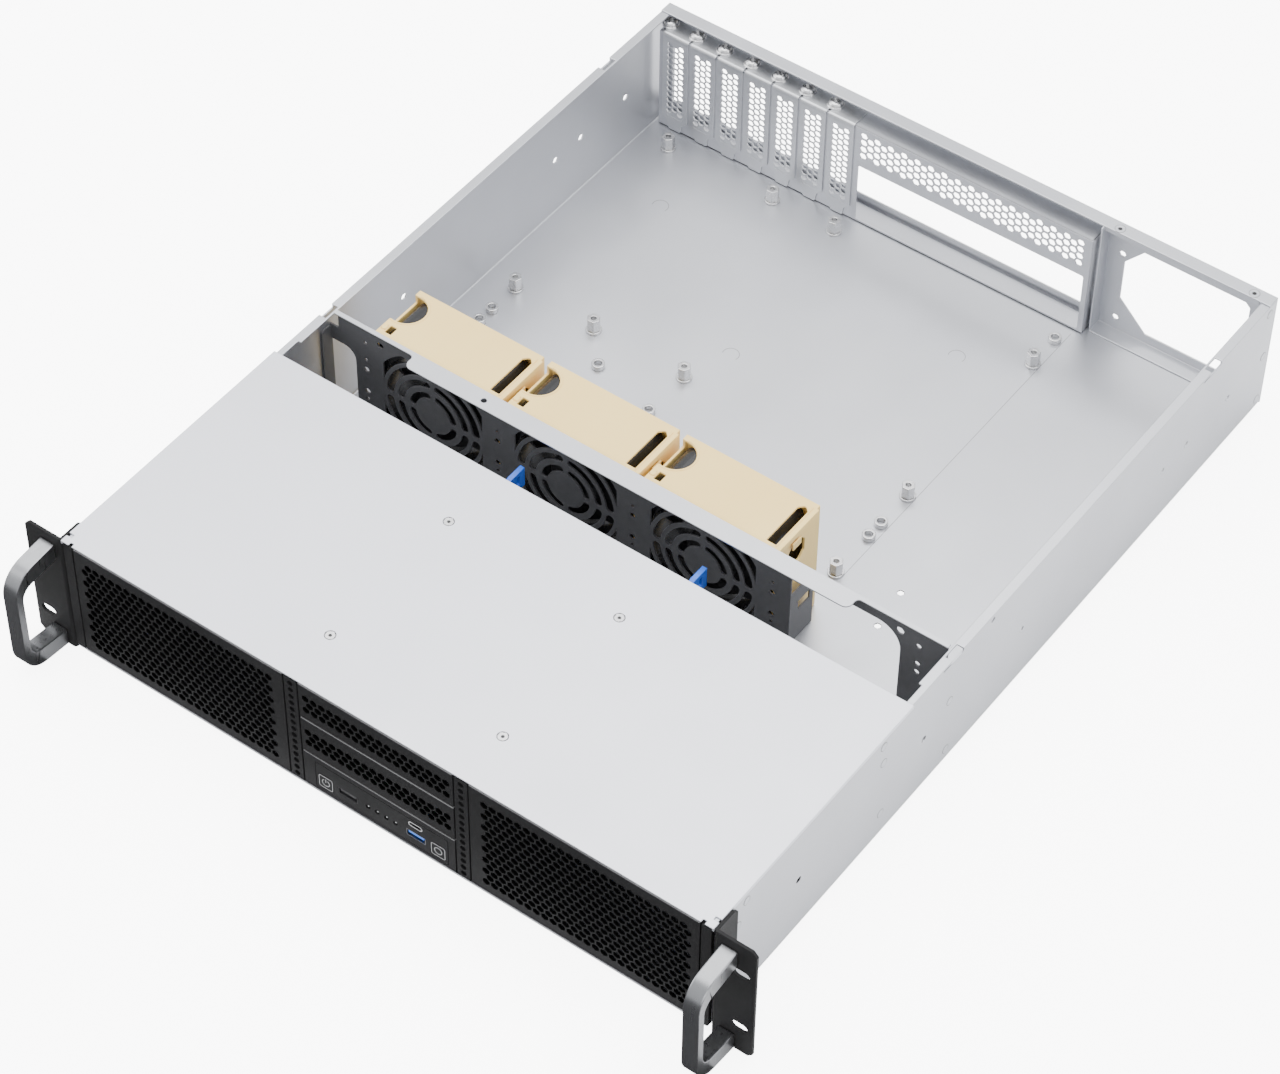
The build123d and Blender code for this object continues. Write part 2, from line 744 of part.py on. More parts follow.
def fan_housing(x):
    """The moulded carrier of one fan: open at the front, a round opening at the back,
    with a finger notch, a latch window and a long slot in its top."""
    y0 = housing_y
    y1 = housing_y + housing_d
    z0 = tray_t + module_gap
    left = x - fan_half - housing_left
    right = x + fan_half + housing_right
    side = right - housing_wall_in
    body = block(left, side, y0, y1, z0, housing_top)
    ceiling = housing_top - housing_t
    body -= block(left + housing_t, side - housing_t, y0 - 1, y1 - housing_back_t, z0 - 1, ceiling)
    body += block(side - housing_t, right, y0, y0 + housing_lip_d, housing_top - housing_lip_h, housing_top)
    body -= along_y(few_sided(x, fan_z, fan_bore_r, bore_sides), y1 - 2 * housing_back_t, y1 + 1)
    notch_x = x - fan_half + finger_in
    top_cut = few_sided(notch_x, y0 + finger_y, finger_r, bore_sides)
    top_cut += rect(left - 1, notch_x, y0 + finger_y - finger_r, y0 + finger_y + finger_r)
    latch = [x - fan_half + step for step in latch_in]
    top_cut += rect(*latch, y0 + latch_y[0], y0 + latch_y[1])
    vent = [x + fan_half + step for step in vent_out]
    window = rect(*vent, y0 + vent_y[0], y0 + vent_y[1])
    top_cut += chamfer(window.vertices().sort_by(Axis.Y)[-2:], vent_corner)
    body -= along_z(top_cut, housing_top - housing_t - housing_lip_h, housing_top + 1)
    a, b, c, d = side_window
    hatch = chamfer(rect(y0 + a, y0 + b, housing_top - c, housing_top - d).vertices(), side_window_cut)
    body -= along_x(hatch, side - housing_t - 1, side + 1)
    return body


def fan_frame(x):
    """The square fan body: a round duct with four struts to the motor's seat."""
    half = fan_w / 2.0 - fan_fit
    outline = chamfer(Rectangle(2 * half, 2 * half).vertices(), fan_corner)
    duct = along_y(Pos(x, fan_z) * (outline - RegularPolygon(fan_bore_r, bore_sides)), fan_y, fan_y + fan_d)
    struts = Rectangle(2 * fan_bore_r, strut_w) + Rectangle(strut_w, 2 * fan_bore_r)
    struts = Rot(0, 0, 45) * (struts + RegularPolygon(rotor_hub_r, hub_sides))
    frame = duct + along_y(Pos(x, fan_z) * struts, fan_y + fan_d - strut_t, fan_y + fan_d)
    bore = along_y(few_sided(x, fan_z, axle_bore_r), fan_y + fan_d - strut_t - 1, fan_y + fan_d - 0.8)
    return frame - bore


def fan_rotor(x):
    """The hub with its swept, pitched blades, and the axle into the motor's seat."""
    y0 = fan_y + 4.0
    half = rotor_hub_d / 2.0
    hub = along_z(RegularPolygon(rotor_hub_r, hub_sides), -half, half)
    hub = chamfer(hub.faces().sort_by(Axis.Z)[-1].edges(), rotor_hub_cut)
    blade = fan_blade()
    wheel = hub
    for k in range(rotor_blades):
        wheel += Rot(0, 0, 360.0 / rotor_blades * k) * blade
    axle_l = fan_y + fan_d - 1.2 - (y0 + rotor_hub_d)
    wheel += along_z(few_sided(0, 0, axle_r), -rotor_hub_d / 2.0 - axle_l, -rotor_hub_d / 2.0)
    return Pos(x, y0 + rotor_hub_d / 2.0, fan_z) * (Rot(90, 0, 0) * wheel)


def fan_blade():
    """One blade: a swept bar from inside the hub to near the duct, turned to its pitch."""
    tip = fan_w / 2.0 - rotor_tip_gap - blade_t
    half = blade_chord / 2.0
    tip_front = (tip, blade_sweep - half - 1.0)
    tip_back = (tip - 2.0, blade_sweep + half - 4.0)
    outline = polygon((blade_root, -half), tip_front, tip_back, (blade_root, half))
    return Rot(blade_pitch, 0, 0) * extrude(outline, blade_t / 2.0, both=True)


def drive_cage():
    """A folded channel behind the bay covers, its top flanges under the cover."""
    half = cage_half_w - inner_t / 2.0
    top = tray_top - inner_t / 2.0
    low = tray_t + inner_t / 2.0
    path = [(-half + cage_flange, top), (-half, top), (-half, low)]
    path = path + [(-x, z) for x, z in reversed(path)]
    cage = along_y(trace(Polyline(*path), inner_t), *cage_y)
    for x, y in cover_screw_spots():
        cage -= along_z(few_sided(x, y, thread_r + screw_gap), top - 2, top + 2)
    for side in (-1, 1):
        reach = sorted((side * (cage_half_w - 3), side * (cage_half_w + 1)))
        cage -= along_x(few_sided(lever_pin_y, lever_pin_z, lever_bore_r), *reach)
    return cage


def bay_shelves():
    """Two shelves that divide the cage into the bays, with edges turned down to its walls."""
    pieces = []
    half = cage_half_w - inner_t - lay_gap - inner_t / 2.0
    for z in divider_z:
        path = [(-half, z - shelf_lip), (-half, z), (half, z), (half, z - shelf_lip)]
        shelf = along_y(trace(Polyline(*path), inner_t), cage_y[0], cage_y[1] - shelf_short)
        pieces.append(shelf)
    return Compound(children=pieces)


def lever(x):
    """A blue release lever on a pin through the cage's wall, with a slot for the finger."""
    inward = -1 if x > 0 else 1
    back = lever_pin_y - lever_heel
    end = lever_pin_y + lever_reach
    low = lever_pin_z - lever_heel
    top = body_h - lever_top_drop
    outline = polygon((back, low), (end, low - 2.0), (end, top), (end - lever_flat_l, top), (back, low + 9.0))
    outline -= rect(end - 7.3, end - 4.7, top - 10.0, top - 3.0)
    plate = along_x(outline, x - lever_t / 2.0, x + lever_t / 2.0)
    tip = x + inward * (lever_t / 2.0 + lever_gap + inner_t + 0.8)
    pin = along_x(few_sided(lever_pin_y, lever_pin_z, lever_pin_r), *sorted((x, tip)))
    return plate + pin


def rear_wall():
    """The outer rear sheet: flanged along its top, open for the slot panel and the supply."""
    edge = tray_w / 2.0
    face = rect(-edge, edge, 0, body_h)
    face -= rect(-half_w + window_inset, window_x1, window_z0, body_h - window_drop)
    a = rear_flange_x + psu_gap
    b = half_w - psu_inset
    c = psu_z0
    d = body_h - psu_drop
    cut_x, cut_z = psu_cut
    foot_x, foot_z = psu_foot_cut
    r = psu_corner
    upper = [(a, d - cut_z), (a + cut_x, d), (b - r, d), (b, d - r)]
    face -= polygon(*upper, (b, c + r), (b - r, c), (a + foot_x, c), (a, c + foot_z))
    face -= [few_sided(rear_flange_x + dx, z, psu_hole_r) for dx, z in psu_holes]
    wall = along_y(face, rear_y, body_d)
    wall += block(-edge, edge, body_d - rear_flange_d, rear_y, tray_top, body_h)
    lip_y = body_d - rear_flange_d
    wall += block(rear_flange_x, inner_half - flange_w, lip_y, lip_y + inner_t, tray_top - rear_lip, tray_top)
    wall += block(rear_flange_x - inner_t, rear_flange_x, body_d - rear_side_d, rear_y, tray_t, tray_top)
    wall += block(rear_flange_x, inner_half - bend_r, body_d - rear_foot_d, rear_y, tray_t, tray_t + inner_t)
    return wall


def io_slot_panel():
    """The recessed panel: slot windows, a strip of holes and the board's port opening."""
    x0, x1 = slot_panel_x
    z0, z1 = slot_panel_z0, slot_shelf_z
    mid = slot_panel_y + inner_t / 2.0
    path = [(slot_shelf_end, z1 - inner_t / 2.0), (mid, z1 - inner_t / 2.0), (mid, z0 + inner_t / 2.0),
            (slot_shelf_end - 1.5, z0 + inner_t / 2.0)]
    panel = along_x(trace(Polyline(*path), inner_t), x0, x1)
    panel += block(x1 - inner_t, x1, slot_panel_y + 0.5, slot_shelf_end - 1.5, z0, z1)
    cuts = Sketch() + rect(*io_x, io_z0, z1 - io_drop)
    low_end, high_end = cover_window_ends
    for x in slot_x:
        half = cover_window_w / 2.0
        cuts += rect(x - half, x + half, cover_plate_z0 + low_end, z1 - high_end)
    a, b = io_x[0] + vent_end, io_x[1] - vent_end
    cuts += staggered(a, b, z1 - vent_drop[1], z1 - vent_drop[0], vent_strip_cols, 2, vent_hole_r)
    panel -= along_y(cuts, slot_panel_y - 1, slot_panel_y + 2)
    for x in slot_x:
        hole = few_sided(x + slot_screw_dx, slot_screw_y, thread_r + screw_gap)
        panel -= along_z(hole, z1 - 3, z1 + 1)
    return panel


def slot_cover(x):
    """A vented blanking cover: top flange under its screw, jogged tongue at the foot."""
    t = inner_t
    front = slot_panel_y - t / 2.0
    shelf = slot_shelf_z + t / 2.0
    bend_top, bend_low = tongue_bend_z
    path = [(slot_shelf_end - 2.0, shelf), (front, shelf), (front, bend_top), (front - tongue_jog, bend_low),
            (front - tongue_jog, tray_t + module_gap)]
    half = cover_plate_w / 2.0
    cover = along_x(trace(Polyline(*path), t), x - half, x + half)
    foot = cover_plate_z0
    for side in (-1, 1):
        cover -= block(x + side * tongue_w / 2.0, x + side * (half + 1), front - 6, front + 2, -1, foot)
    z0, z1 = cover_hole_z[0], slot_shelf_z - cover_hole_z[1]
    holes = []
    for k in range(cover_hole_rows):
        z = z0 + (z1 - z0) * k / (cover_hole_rows - 1)
        holes.append(hexagon(x + (cover_hole_off if k % 2 else -cover_hole_off), z, cover_hole_r))
    cover -= along_y(Sketch() + holes, front - 2, front + 2)
    for dx in (slot_screw_dx, slot_screw_dx + slot_pitch):
        notch = few_sided(x + dx, slot_screw_y, thread_r + screw_gap)
        cover -= along_z(notch, shelf - 3, shelf + 3)
    return cover


def slot_screws():
    """Seven washer head screws, one in the gap beside each slot cover."""
    pieces = []
    seat = slot_shelf_z + inner_t
    for x in slot_x:
        spot = (x + slot_screw_dx, slot_screw_y)
        washer = along_z(few_sided(*spot, slot_washer_r), seat, seat + slot_washer_t)
        top = seat + slot_washer_t
        body = screw(*spot, top, slot_screw_head_r, slot_screw_head_h, slot_screw_l, thread_r)
        pieces.append(washer + body)
    return Compound(children=pieces)


def board_studs():
    """Nine six-sided studs that carry the circuit board, each on a round foot."""
    pieces = []
    for x, y in stud_spots:
        foot = along_z(few_sided(x, y, stud_foot_r), tray_t, tray_t + stud_foot_h)
        outline = RegularPolygon(stud_af / 2.0, 6, major_radius=False)
        post = along_z(Pos(x, y) * outline, tray_t, tray_t + stud_h)
        bore = along_z(few_sided(x, y, stud_bore_r), tray_t + stud_h - stud_bore_h, tray_t + stud_h + 1)
        pieces.append(foot + post - bore)
    return Compound(children=pieces)


def floor_nuts():
    """Seven low press nuts for other board sizes."""
    pieces = []
    for x, y in low_nut_spots:
        ring = few_sided(x, y, low_nut_r) - few_sided(x, y, low_nut_bore_r)
        pieces.append(along_z(ring, tray_t, tray_t + low_nut_h))
    return Compound(children=pieces)


def build_pieces():
    """Every piece by its node name, at rest in the case's own frame."""
    ear = ear_right()
    handle = handle_right()
    grille = grille_left()
    pieces = {
        "base_tub": base_tub(),
        "front_cover": front_cover(),
        "cover_screws": cover_screws(),
        "front_frame": front_frame(),
        "grille_left": grille,
        "grille_right": mirrored(grille),
        "bay_cover_upper": bay_cover(0),
        "bay_cover_lower": bay_cover(1),
        "control_panel": control_panel(),
        "power_button": push_button(button_x[0]),
        "reset_button": push_button(button_x[1]),
        "usb_port": usb_port(usb_x),
        "usb3_port": usb_port(usb3_x),
        "oval_port": tiny_port(),
        "led_lenses": led_lenses(),
        "control_board": control_board(),
        "ear_right": ear,
        "ear_left": mirrored(ear),
        "handle_right": handle,
        "handle_left": mirrored(handle),
        "handle_screws": handle_screws(),
        "fan_wall": fan_wall(),
        "wall_top_rail": wall_top_rail(),
        "fan_end_bracket": fan_end_bracket(),
        "drive_cage": drive_cage(),
        "bay_shelves": bay_shelves(),
        "lever_left": lever(-cage_half_w - lever_gap - lever_t / 2.0),
        "lever_right": lever(cage_half_w + lever_gap + lever_t / 2.0),
        "rear_wall": rear_wall(),
        "io_slot_panel": io_slot_panel(),
        "slot_screws": slot_screws(),
        "board_studs": board_studs(),
        "floor_nuts": floor_nuts(),
    }
    for number, x in enumerate(fan_x, start=1):
        pieces[f"fan_housing_{number}"] = fan_housing(x)
        pieces[f"fan_frame_{number}"] = fan_frame(x)
        pieces[f"fan_rotor_{number}"] = fan_rotor(x)
    for number, x in enumerate(slot_x, start=1):
        pieces[f"slot_cover_{number}"] = slot_cover(x)
    return pieces


os.makedirs("parts", exist_ok=True)
for name, piece in build_pieces().items():
    placed = [move_to_origin * solid for solid in piece.solids()]
    export_step(Compound(children=placed) if len(placed) > 1 else placed[0], f"parts/{name}.step")
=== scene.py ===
# %% [markdown]
# An empty rackmount server case, lid off
#
# The case is a folded sheet-metal tray, two rack units high. A black front with air grilles and drive bay
# covers closes one end, a rear sheet with seven vented slot covers the other, and a dark cross wall
# carries three fans in cream plastic carriers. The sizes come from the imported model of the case, which
# is loaded first and stays exactly where it is. What follows gives each piece its real finish, and puts
# a finer piece in place of the plain ones where the eye would miss the detail.

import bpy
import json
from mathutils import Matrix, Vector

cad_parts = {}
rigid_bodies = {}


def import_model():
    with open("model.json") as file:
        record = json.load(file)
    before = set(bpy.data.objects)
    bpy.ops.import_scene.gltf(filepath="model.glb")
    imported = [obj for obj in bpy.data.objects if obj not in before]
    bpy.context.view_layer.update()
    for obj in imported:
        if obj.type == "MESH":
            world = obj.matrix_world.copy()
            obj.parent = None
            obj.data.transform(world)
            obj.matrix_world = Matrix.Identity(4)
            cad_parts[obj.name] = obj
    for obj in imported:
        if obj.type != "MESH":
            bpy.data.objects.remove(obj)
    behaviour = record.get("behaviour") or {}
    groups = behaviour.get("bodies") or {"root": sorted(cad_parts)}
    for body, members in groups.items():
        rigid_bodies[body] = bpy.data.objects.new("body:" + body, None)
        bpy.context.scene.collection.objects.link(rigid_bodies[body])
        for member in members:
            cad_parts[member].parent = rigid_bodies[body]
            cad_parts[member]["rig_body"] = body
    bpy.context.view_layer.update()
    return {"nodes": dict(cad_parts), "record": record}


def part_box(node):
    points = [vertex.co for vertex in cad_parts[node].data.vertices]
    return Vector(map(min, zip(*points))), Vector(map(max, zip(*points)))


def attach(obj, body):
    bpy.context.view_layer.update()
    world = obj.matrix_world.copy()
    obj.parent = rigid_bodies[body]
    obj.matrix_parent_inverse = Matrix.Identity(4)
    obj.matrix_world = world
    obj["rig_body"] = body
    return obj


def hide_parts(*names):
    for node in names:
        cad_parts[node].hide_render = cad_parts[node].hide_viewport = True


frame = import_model()
print("pieces in the packed case:", len(frame["nodes"]))

# %% Modules
import json
import math
import bmesh
import bpy
from mathutils import Matrix, Vector

# %% [markdown]
# Measures. On the bench such a case is measured in millimetres from the middle of its front panel: across,
# back and up. The shared frame is in metres, with its origin under the middle of the whole box, so one
# small function turns a bench measure into a place in the scene. Flat pieces are drawn as outlines and
# then stood up, laid down or set on edge by one of three placing matrices.

# %% Bench measures to scene places
FRONT_FACE_Y = -259.5
EAR_DROP = 4.0


def spot(x, y, z):
    """A place in the scene from a bench measure in millimetres."""
    return Vector((x, y + FRONT_FACE_Y, z + EAR_DROP)) / 1000.0


TO_METRES = Matrix.Scale(0.001, 4)
QUARTER = math.radians(90)


def standing(y, x=0.0, z=0.0):
    """Drawn across and up; the sheet's thickness goes from y towards the front."""
    return Matrix.Translation(spot(x, y, z)) @ Matrix.Rotation(QUARTER, 4, "X") @ TO_METRES


def lying(z, x=0.0, y=0.0):
    """Drawn across and back; the thickness goes up from z."""
    return Matrix.Translation(spot(x, y, z)) @ TO_METRES


def on_edge(x, y=0.0, z=0.0):
    """Drawn back and up; the thickness goes from x to the right."""
    turn = Matrix(((0, 0, 1, 0), (1, 0, 0, 0), (0, 1, 0, 0), (0, 0, 0, 1)))
    return Matrix.Translation(spot(x, y, z)) @ turn @ TO_METRES


# %% [markdown]
# The camera. The photograph looks down on the case from the front right, from about two metres away,
# through a long lens. Its place and turn were worked out from the corners of the case and the even
# spacing of the slot covers, so the camera is set from three direction vectors and not aimed by eye.

# %% Camera
CAMERA_PLACE = (0.86646, -1.22706, 1.67149)
CAMERA_RIGHT = Vector((0.805211, 0.592933, 0.008131))
CAMERA_UP = Vector((-0.445029, 0.595180, 0.669111))
CAMERA_BACK = Vector((0.391898, -0.542394, 0.743118))

camera = bpy.data.objects.new("photo_camera", bpy.data.cameras.new("photo_camera"))
bpy.context.scene.collection.objects.link(camera)
turn = Matrix((CAMERA_RIGHT, CAMERA_UP, CAMERA_BACK)).transposed().to_4x4()
camera.matrix_world = Matrix.Translation(CAMERA_PLACE) @ turn
camera.data.sensor_width = 36.0
camera.data.lens = 111.73
camera.data.clip_end = 20.0
bpy.context.scene.camera = camera
print("camera is", round((Vector(CAMERA_PLACE) - spot(0, 276, 42)).length, 3), "m from the case")

# %% [markdown]
# The floor and the light. The photograph is a studio picture on white, with broad soft light overhead and
# from the sides, which gives smooth zinc its even pale grey. A pale floor and four large area lights do
# the same here. The floor glows for the camera alone, so that it is as white as the photograph's paper
# without lighting the case. In reflections it is dark just before the front, because the handles in the
# photograph mirror something dark. Two helpers make and fill the nodes of every tree in this script.

# %% Node helpers
def fill(tree, node, inputs):
    """Sets a node's plain inputs and links those that are given as sockets."""
    for key, value in inputs.items():
        if isinstance(value, bpy.types.NodeSocket):
            tree.links.new(value, node.inputs[key])
        else:
            node.inputs[key].default_value = value


def add(tree, kind, inputs=None, **settings):
    """A node with its settings made and its inputs filled."""
    node = tree.nodes.new(kind)
    for key, value in settings.items():
        setattr(node, key, value)
    fill(tree, node, inputs or {})
    return node


def calculate(tree, operation, *values, kind="ShaderNodeMath"):
    return add(tree, kind, dict(enumerate(values)), operation=operation).outputs[0]


def mixed(tree, amount, one, other, **settings):
    """The colour that lies between two by an amount."""
    return add(tree, "ShaderNodeMix", {0: amount, 6: one, 7: other}, data_type="RGBA", **settings).outputs[2]


def new_material(name):
    material = bpy.data.materials.new(name)
    material.use_nodes = True
    return material, material.node_tree, material.node_tree.nodes["Principled BSDF"]


def linked(name, data):
    """A new object in the scene, for a mesh or a lamp."""
    obj = bpy.data.objects.new(name, data)
    bpy.context.scene.collection.objects.link(obj)
    return obj


# %% Studio floor and lights
PAPER_GLOW = 7.0
DARK_BEFORE = -0.275


def studio_floor():
    paper, tree, shader = new_material("floor_paper")
    where = add(tree, "ShaderNodeTexCoord").outputs["Object"]
    seen = add(tree, "ShaderNodeLightPath").outputs
    noise = add(tree, "ShaderNodeTexNoise", {"Vector": where, "Scale": 3.0}).outputs["Fac"]
    tint = mixed(tree, noise, (0.93, 0.93, 0.935, 1), (0.96, 0.96, 0.96, 1))
    back = add(tree, "ShaderNodeSeparateXYZ", {"Vector": where}).outputs["Y"]
    before = calculate(tree, "LESS_THAN", back, DARK_BEFORE)
    mirrored = calculate(tree, "MULTIPLY", before, seen["Is Glossy Ray"])
    glow = calculate(tree, "MULTIPLY", seen["Is Camera Ray"], PAPER_GLOW)
    fill(tree, shader, {
        "Roughness": 0.85, "Base Color": mixed(tree, mirrored, tint, (0.03, 0.03, 0.032, 1)),
        "Emission Color": (1, 1, 1, 1), "Emission Strength": glow,
    })
    mesh = bpy.data.meshes.new("studio_floor")
    mesh.from_pydata([(-6, -6, 0), (6, -6, 0), (6, 6, 0), (-6, 6, 0)], [], [(0, 1, 2, 3)])
    mesh.materials.append(paper)
    floor = linked("studio_floor", mesh)


def soft_light(name, place, aim, size, power):
    light = bpy.data.lights.new(name, "AREA")
    light.shape = "RECTANGLE"
    light.size, light.size_y = size
    light.energy = power
    lamp = linked(name, light)
    lamp.location = place
    lamp.rotation_euler = (Vector(aim) - Vector(place)).to_track_quat("-Z", "Y").to_euler()


studio_floor()
soft_light("overhead", (-0.3, 0.3, 2.2), (0, 0, 0), (2.4, 2.4), 74)
soft_light("left_side", (-2.0, -0.9, 1.3), (0, 0, 0.05), (1.6, 1.6), 24)
soft_light("front_right", (1.5, -2.0, 1.2), (0, 0, 0.03), (1.4, 1.4), 14)
soft_light("right_side", (2.1, 0.4, 1.3), (0.4, 0.2, 0.0), (1.4, 1.4), 18)

world = bpy.context.scene.world or bpy.data.worlds.new("studio")
bpy.context.scene.world = world
world.use_nodes = True
fill(world.node_tree, world.node_tree.nodes["Background"], {"Color": (0.97, 0.98, 1, 1), "Strength": 1.28})

# %% [markdown]
# Shared surface effects. Three small shader groups serve every finish: a soft mottle that lets colour and
# gloss drift a little over a sheet, a fine grain for the height of a powder coat or a moulded skin, and
# brush marks, which are the same noise stretched along one direction.

# %% Surface groups
def surface_group(name, size, detail, stretched=False):
    """A noise in place or stretched, brought between a low and a high level."""
    tree = bpy.data.node_groups.new(name, "ShaderNodeTree")
    sockets = [("Stretch", (1.0, 1.0, 1.0))] if stretched else []
    for label, value in [*sockets, ("Size", size), ("Low", 0.0), ("High", 1.0)]:
        kind = "NodeSocketVector" if isinstance(value, tuple) else "NodeSocketFloat"
        tree.interface.new_socket(label, in_out="INPUT", socket_type=kind).default_value = value
    tree.interface.new_socket("Level", in_out="OUTPUT", socket_type="NodeSocketFloat")
    given = add(tree, "NodeGroupInput").outputs
    where = add(tree, "ShaderNodeTexCoord").outputs["Object"]
    if stretched:
        where = add(tree, "ShaderNodeMapping", {"Vector": where, "Scale": given["Stretch"]}).outputs["Vector"]
    noise = add(tree, "ShaderNodeTexNoise", {"Vector": where, "Scale": given["Size"], "Detail": detail})
    level = add(tree, "ShaderNodeMapRange", {
        "Value": noise.outputs["Fac"], "From Min": 0.3, "From Max": 0.7,
        "To Min": given["Low"], "To Max": given["High"],
    })
    add(tree, "NodeGroupOutput", {"Level": level.outputs["Result"]})
    return tree


mottle = surface_group("soft mottle", 12.0, 4.0)
grain = surface_group("fine grain", 1500.0, 2.0)
brush = surface_group("brush marks", 400.0, 3.0, stretched=True)
print("surface groups:", mottle.name, "|", grain.name, "|", brush.name)

# %% [markdown]
# The finishes. Every finish starts from the same recipe: two nearby colours mixed by the mottle, a
# roughness that drifts between two values, and a very small bump from the grain or the brush marks. What
# makes zinc, powder coat and moulded plastic look different is how metallic and how rough they are.

# %% Finishes
GLOSS_SPREAD = 2.3
BRUSH_FINENESS = 500.0
BUMP_HEIGHT = 0.0001


def finish(name, dark, pale, rough, metal=0.0, bump=0.1, size=12.0, grain_size=1500.0, marks=None, coat=0.0,
           shine=0.5):
    """A material from two colours, two roughness values and a bump pattern."""
    made, tree, shader = new_material(name)
    drift = add(tree, "ShaderNodeGroup", {"Size": size}, node_tree=mottle).outputs["Level"]
    pattern = {"Stretch": marks} if marks else {}
    spread = pattern or {"Size": size * GLOSS_SPREAD}
    levels = {**spread, "Low": rough[0], "High": rough[1]}
    gloss = add(tree, "ShaderNodeGroup", levels, node_tree=brush if marks else mottle)
    fineness = {**pattern, "Size": BRUSH_FINENESS if marks else grain_size}
    relief = add(tree, "ShaderNodeGroup", fineness, node_tree=brush if marks else grain).outputs["Level"]
    bumps = add(tree, "ShaderNodeBump", {"Strength": bump, "Distance": BUMP_HEIGHT, "Height": relief})
    fill(tree, shader, {
        "Metallic": metal, "Coat Weight": coat, "Specular IOR Level": shine,
        "Base Color": mixed(tree, drift, (*dark, 1), (*pale, 1)),
        "Roughness": gloss.outputs["Level"], "Normal": bumps.outputs["Normal"],
    })
    return made


zinc_sheet = finish("zinc_sheet", (0.55, 0.56, 0.59), (0.61, 0.62, 0.65), (0.34, 0.42),
                    metal=0.9, bump=0.06, size=9)
cover_sheet = finish("cover_sheet", (0.74, 0.75, 0.80), (0.78, 0.79, 0.84), (0.40, 0.47),
                     metal=0.75, bump=0.05, size=7)
slot_sheet = finish("slot_sheet", (0.56, 0.57, 0.59), (0.66, 0.67, 0.69), (0.28, 0.36),
                    metal=0.95, bump=0.06, size=16)
plated_screw = finish("plated_screw", (0.55, 0.55, 0.56), (0.68, 0.68, 0.68), (0.22, 0.32),
                      metal=1.0, bump=0.05, size=90)
black_coat = finish("black_coat", (0.013, 0.013, 0.0135), (0.017, 0.017, 0.0175), (0.42, 0.52),
                    bump=0.3, grain_size=2400, shine=0.1)
# A paler black that lit_edges paints on top-facing upper edges, as a painted highlight.
edge_highlight_paint = finish("edge_highlight_paint", (0.17, 0.17, 0.175), (0.24, 0.24, 0.245), (0.35, 0.45), grain_size=2400)
charcoal_coat = finish("charcoal_coat", (0.078, 0.079, 0.085), (0.094, 0.095, 0.101), (0.42, 0.52),
                       bump=0.3, grain_size=2200, shine=0.4)
cream_skin = finish("cream_skin", (0.97, 0.69, 0.25), (1.0, 0.73, 0.28), (0.38, 0.46),
                    size=20, grain_size=1800)
fan_black = finish("fan_black", (0.010, 0.010, 0.011), (0.018, 0.018, 0.019), (0.2, 0.28),
                   bump=0.05, size=30, grain_size=2000)
# Painted shade for the walls of the front panels' holes.
hole_shade_paint = finish("hole_shade_paint", (0.003, 0.003, 0.003), (0.005, 0.005, 0.005), (0.8, 0.9),
                    size=40, shine=0.0)
black_skin = finish("black_skin", (0.012, 0.012, 0.013), (0.022, 0.022, 0.024), (0.38, 0.48),
                    bump=0.2, size=30, grain_size=2000)
blue_skin = finish("blue_skin", (0.02, 0.11, 0.62), (0.03, 0.16, 0.76), (0.26, 0.34),
                   size=60, grain_size=2000)
satin_bar = finish("satin_bar", (0.24, 0.245, 0.255), (0.30, 0.305, 0.315), (0.26, 0.34),
                   metal=0.95, bump=0.04, marks=(1.0, 1.0, 0.05))
port_metal = finish("port_metal", (0.20, 0.20, 0.21), (0.28, 0.28, 0.29), (0.25, 0.35),
                    metal=1.0, bump=0.05, size=90)
port_blue = finish("port_blue", (0.02, 0.16, 0.75), (0.03, 0.22, 0.88), (0.3, 0.38), bump=0.05, size=90)
clear_pipe = finish("clear_pipe", (0.72, 0.74, 0.74), (0.82, 0.84, 0.84), (0.12, 0.2),
                    bump=0.02, size=200, coat=0.5)
board_green = finish("board_green", (0.01, 0.09, 0.03), (0.015, 0.13, 0.045), (0.35, 0.45),
                     size=60, coat=0.2)
print("finishes made:", len(bpy.data.materials))


def shaded_inside(material, low, high, left):
    """Darkens a finish inside a box of the shared frame, so that the front chamber's holes look dark."""
    tree = material.node_tree
    colour = tree.nodes["Principled BSDF"].inputs["Base Color"]
    where = add(tree, "ShaderNodeTexCoord").outputs["Object"]
    vector = {"kind": "ShaderNodeVectorMath"}
    off = calculate(tree, "SUBTRACT", where, (low + high) / 2, **vector)
    share = calculate(tree, "DIVIDE", calculate(tree, "ABSOLUTE", off, **vector), (high - low) / 2, **vector)
    x, y, z = add(tree, "ShaderNodeSeparateXYZ", {0: share}).outputs
    widest = calculate(tree, "MAXIMUM", calculate(tree, "MAXIMUM", x, y), z)
    inside = calculate(tree, "LESS_THAN", widest, 1.0)
    own = colour.links[0].from_socket
    tree.links.new(mixed(tree, inside, own, (left, left, left, 1), blend_type="MULTIPLY"), colour)


FRONT_CHAMBER = (Vector((-0.2133, -0.2563, 0.0046)), Vector((0.2133, -0.13, 0.0864)))
shaded_inside(zinc_sheet, *FRONT_CHAMBER, left=0.12)

# %% [markdown]
# Softened edges. A folded or moulded edge is never razor sharp, and it is the thin bright line along it
# that tells the eye what it sees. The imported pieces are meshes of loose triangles, so a copy is merged
# and its flat faces joined again, then a Bevel modifier rounds the sharp edges by a few tenths of a
# millimetre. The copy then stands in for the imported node, which is hidden.

# %% Rounding, copying and cutting
SMOOTH_BELOW = 20.0
FLAT_RATIO = 6.0
FLAT_WITHIN = 1.0
ONE_PLANE = 0.5
MERGE_DISTANCE = 0.000002
STALE_LAYERS = ("custom_normal", "sharp_face", "sharp_edge")


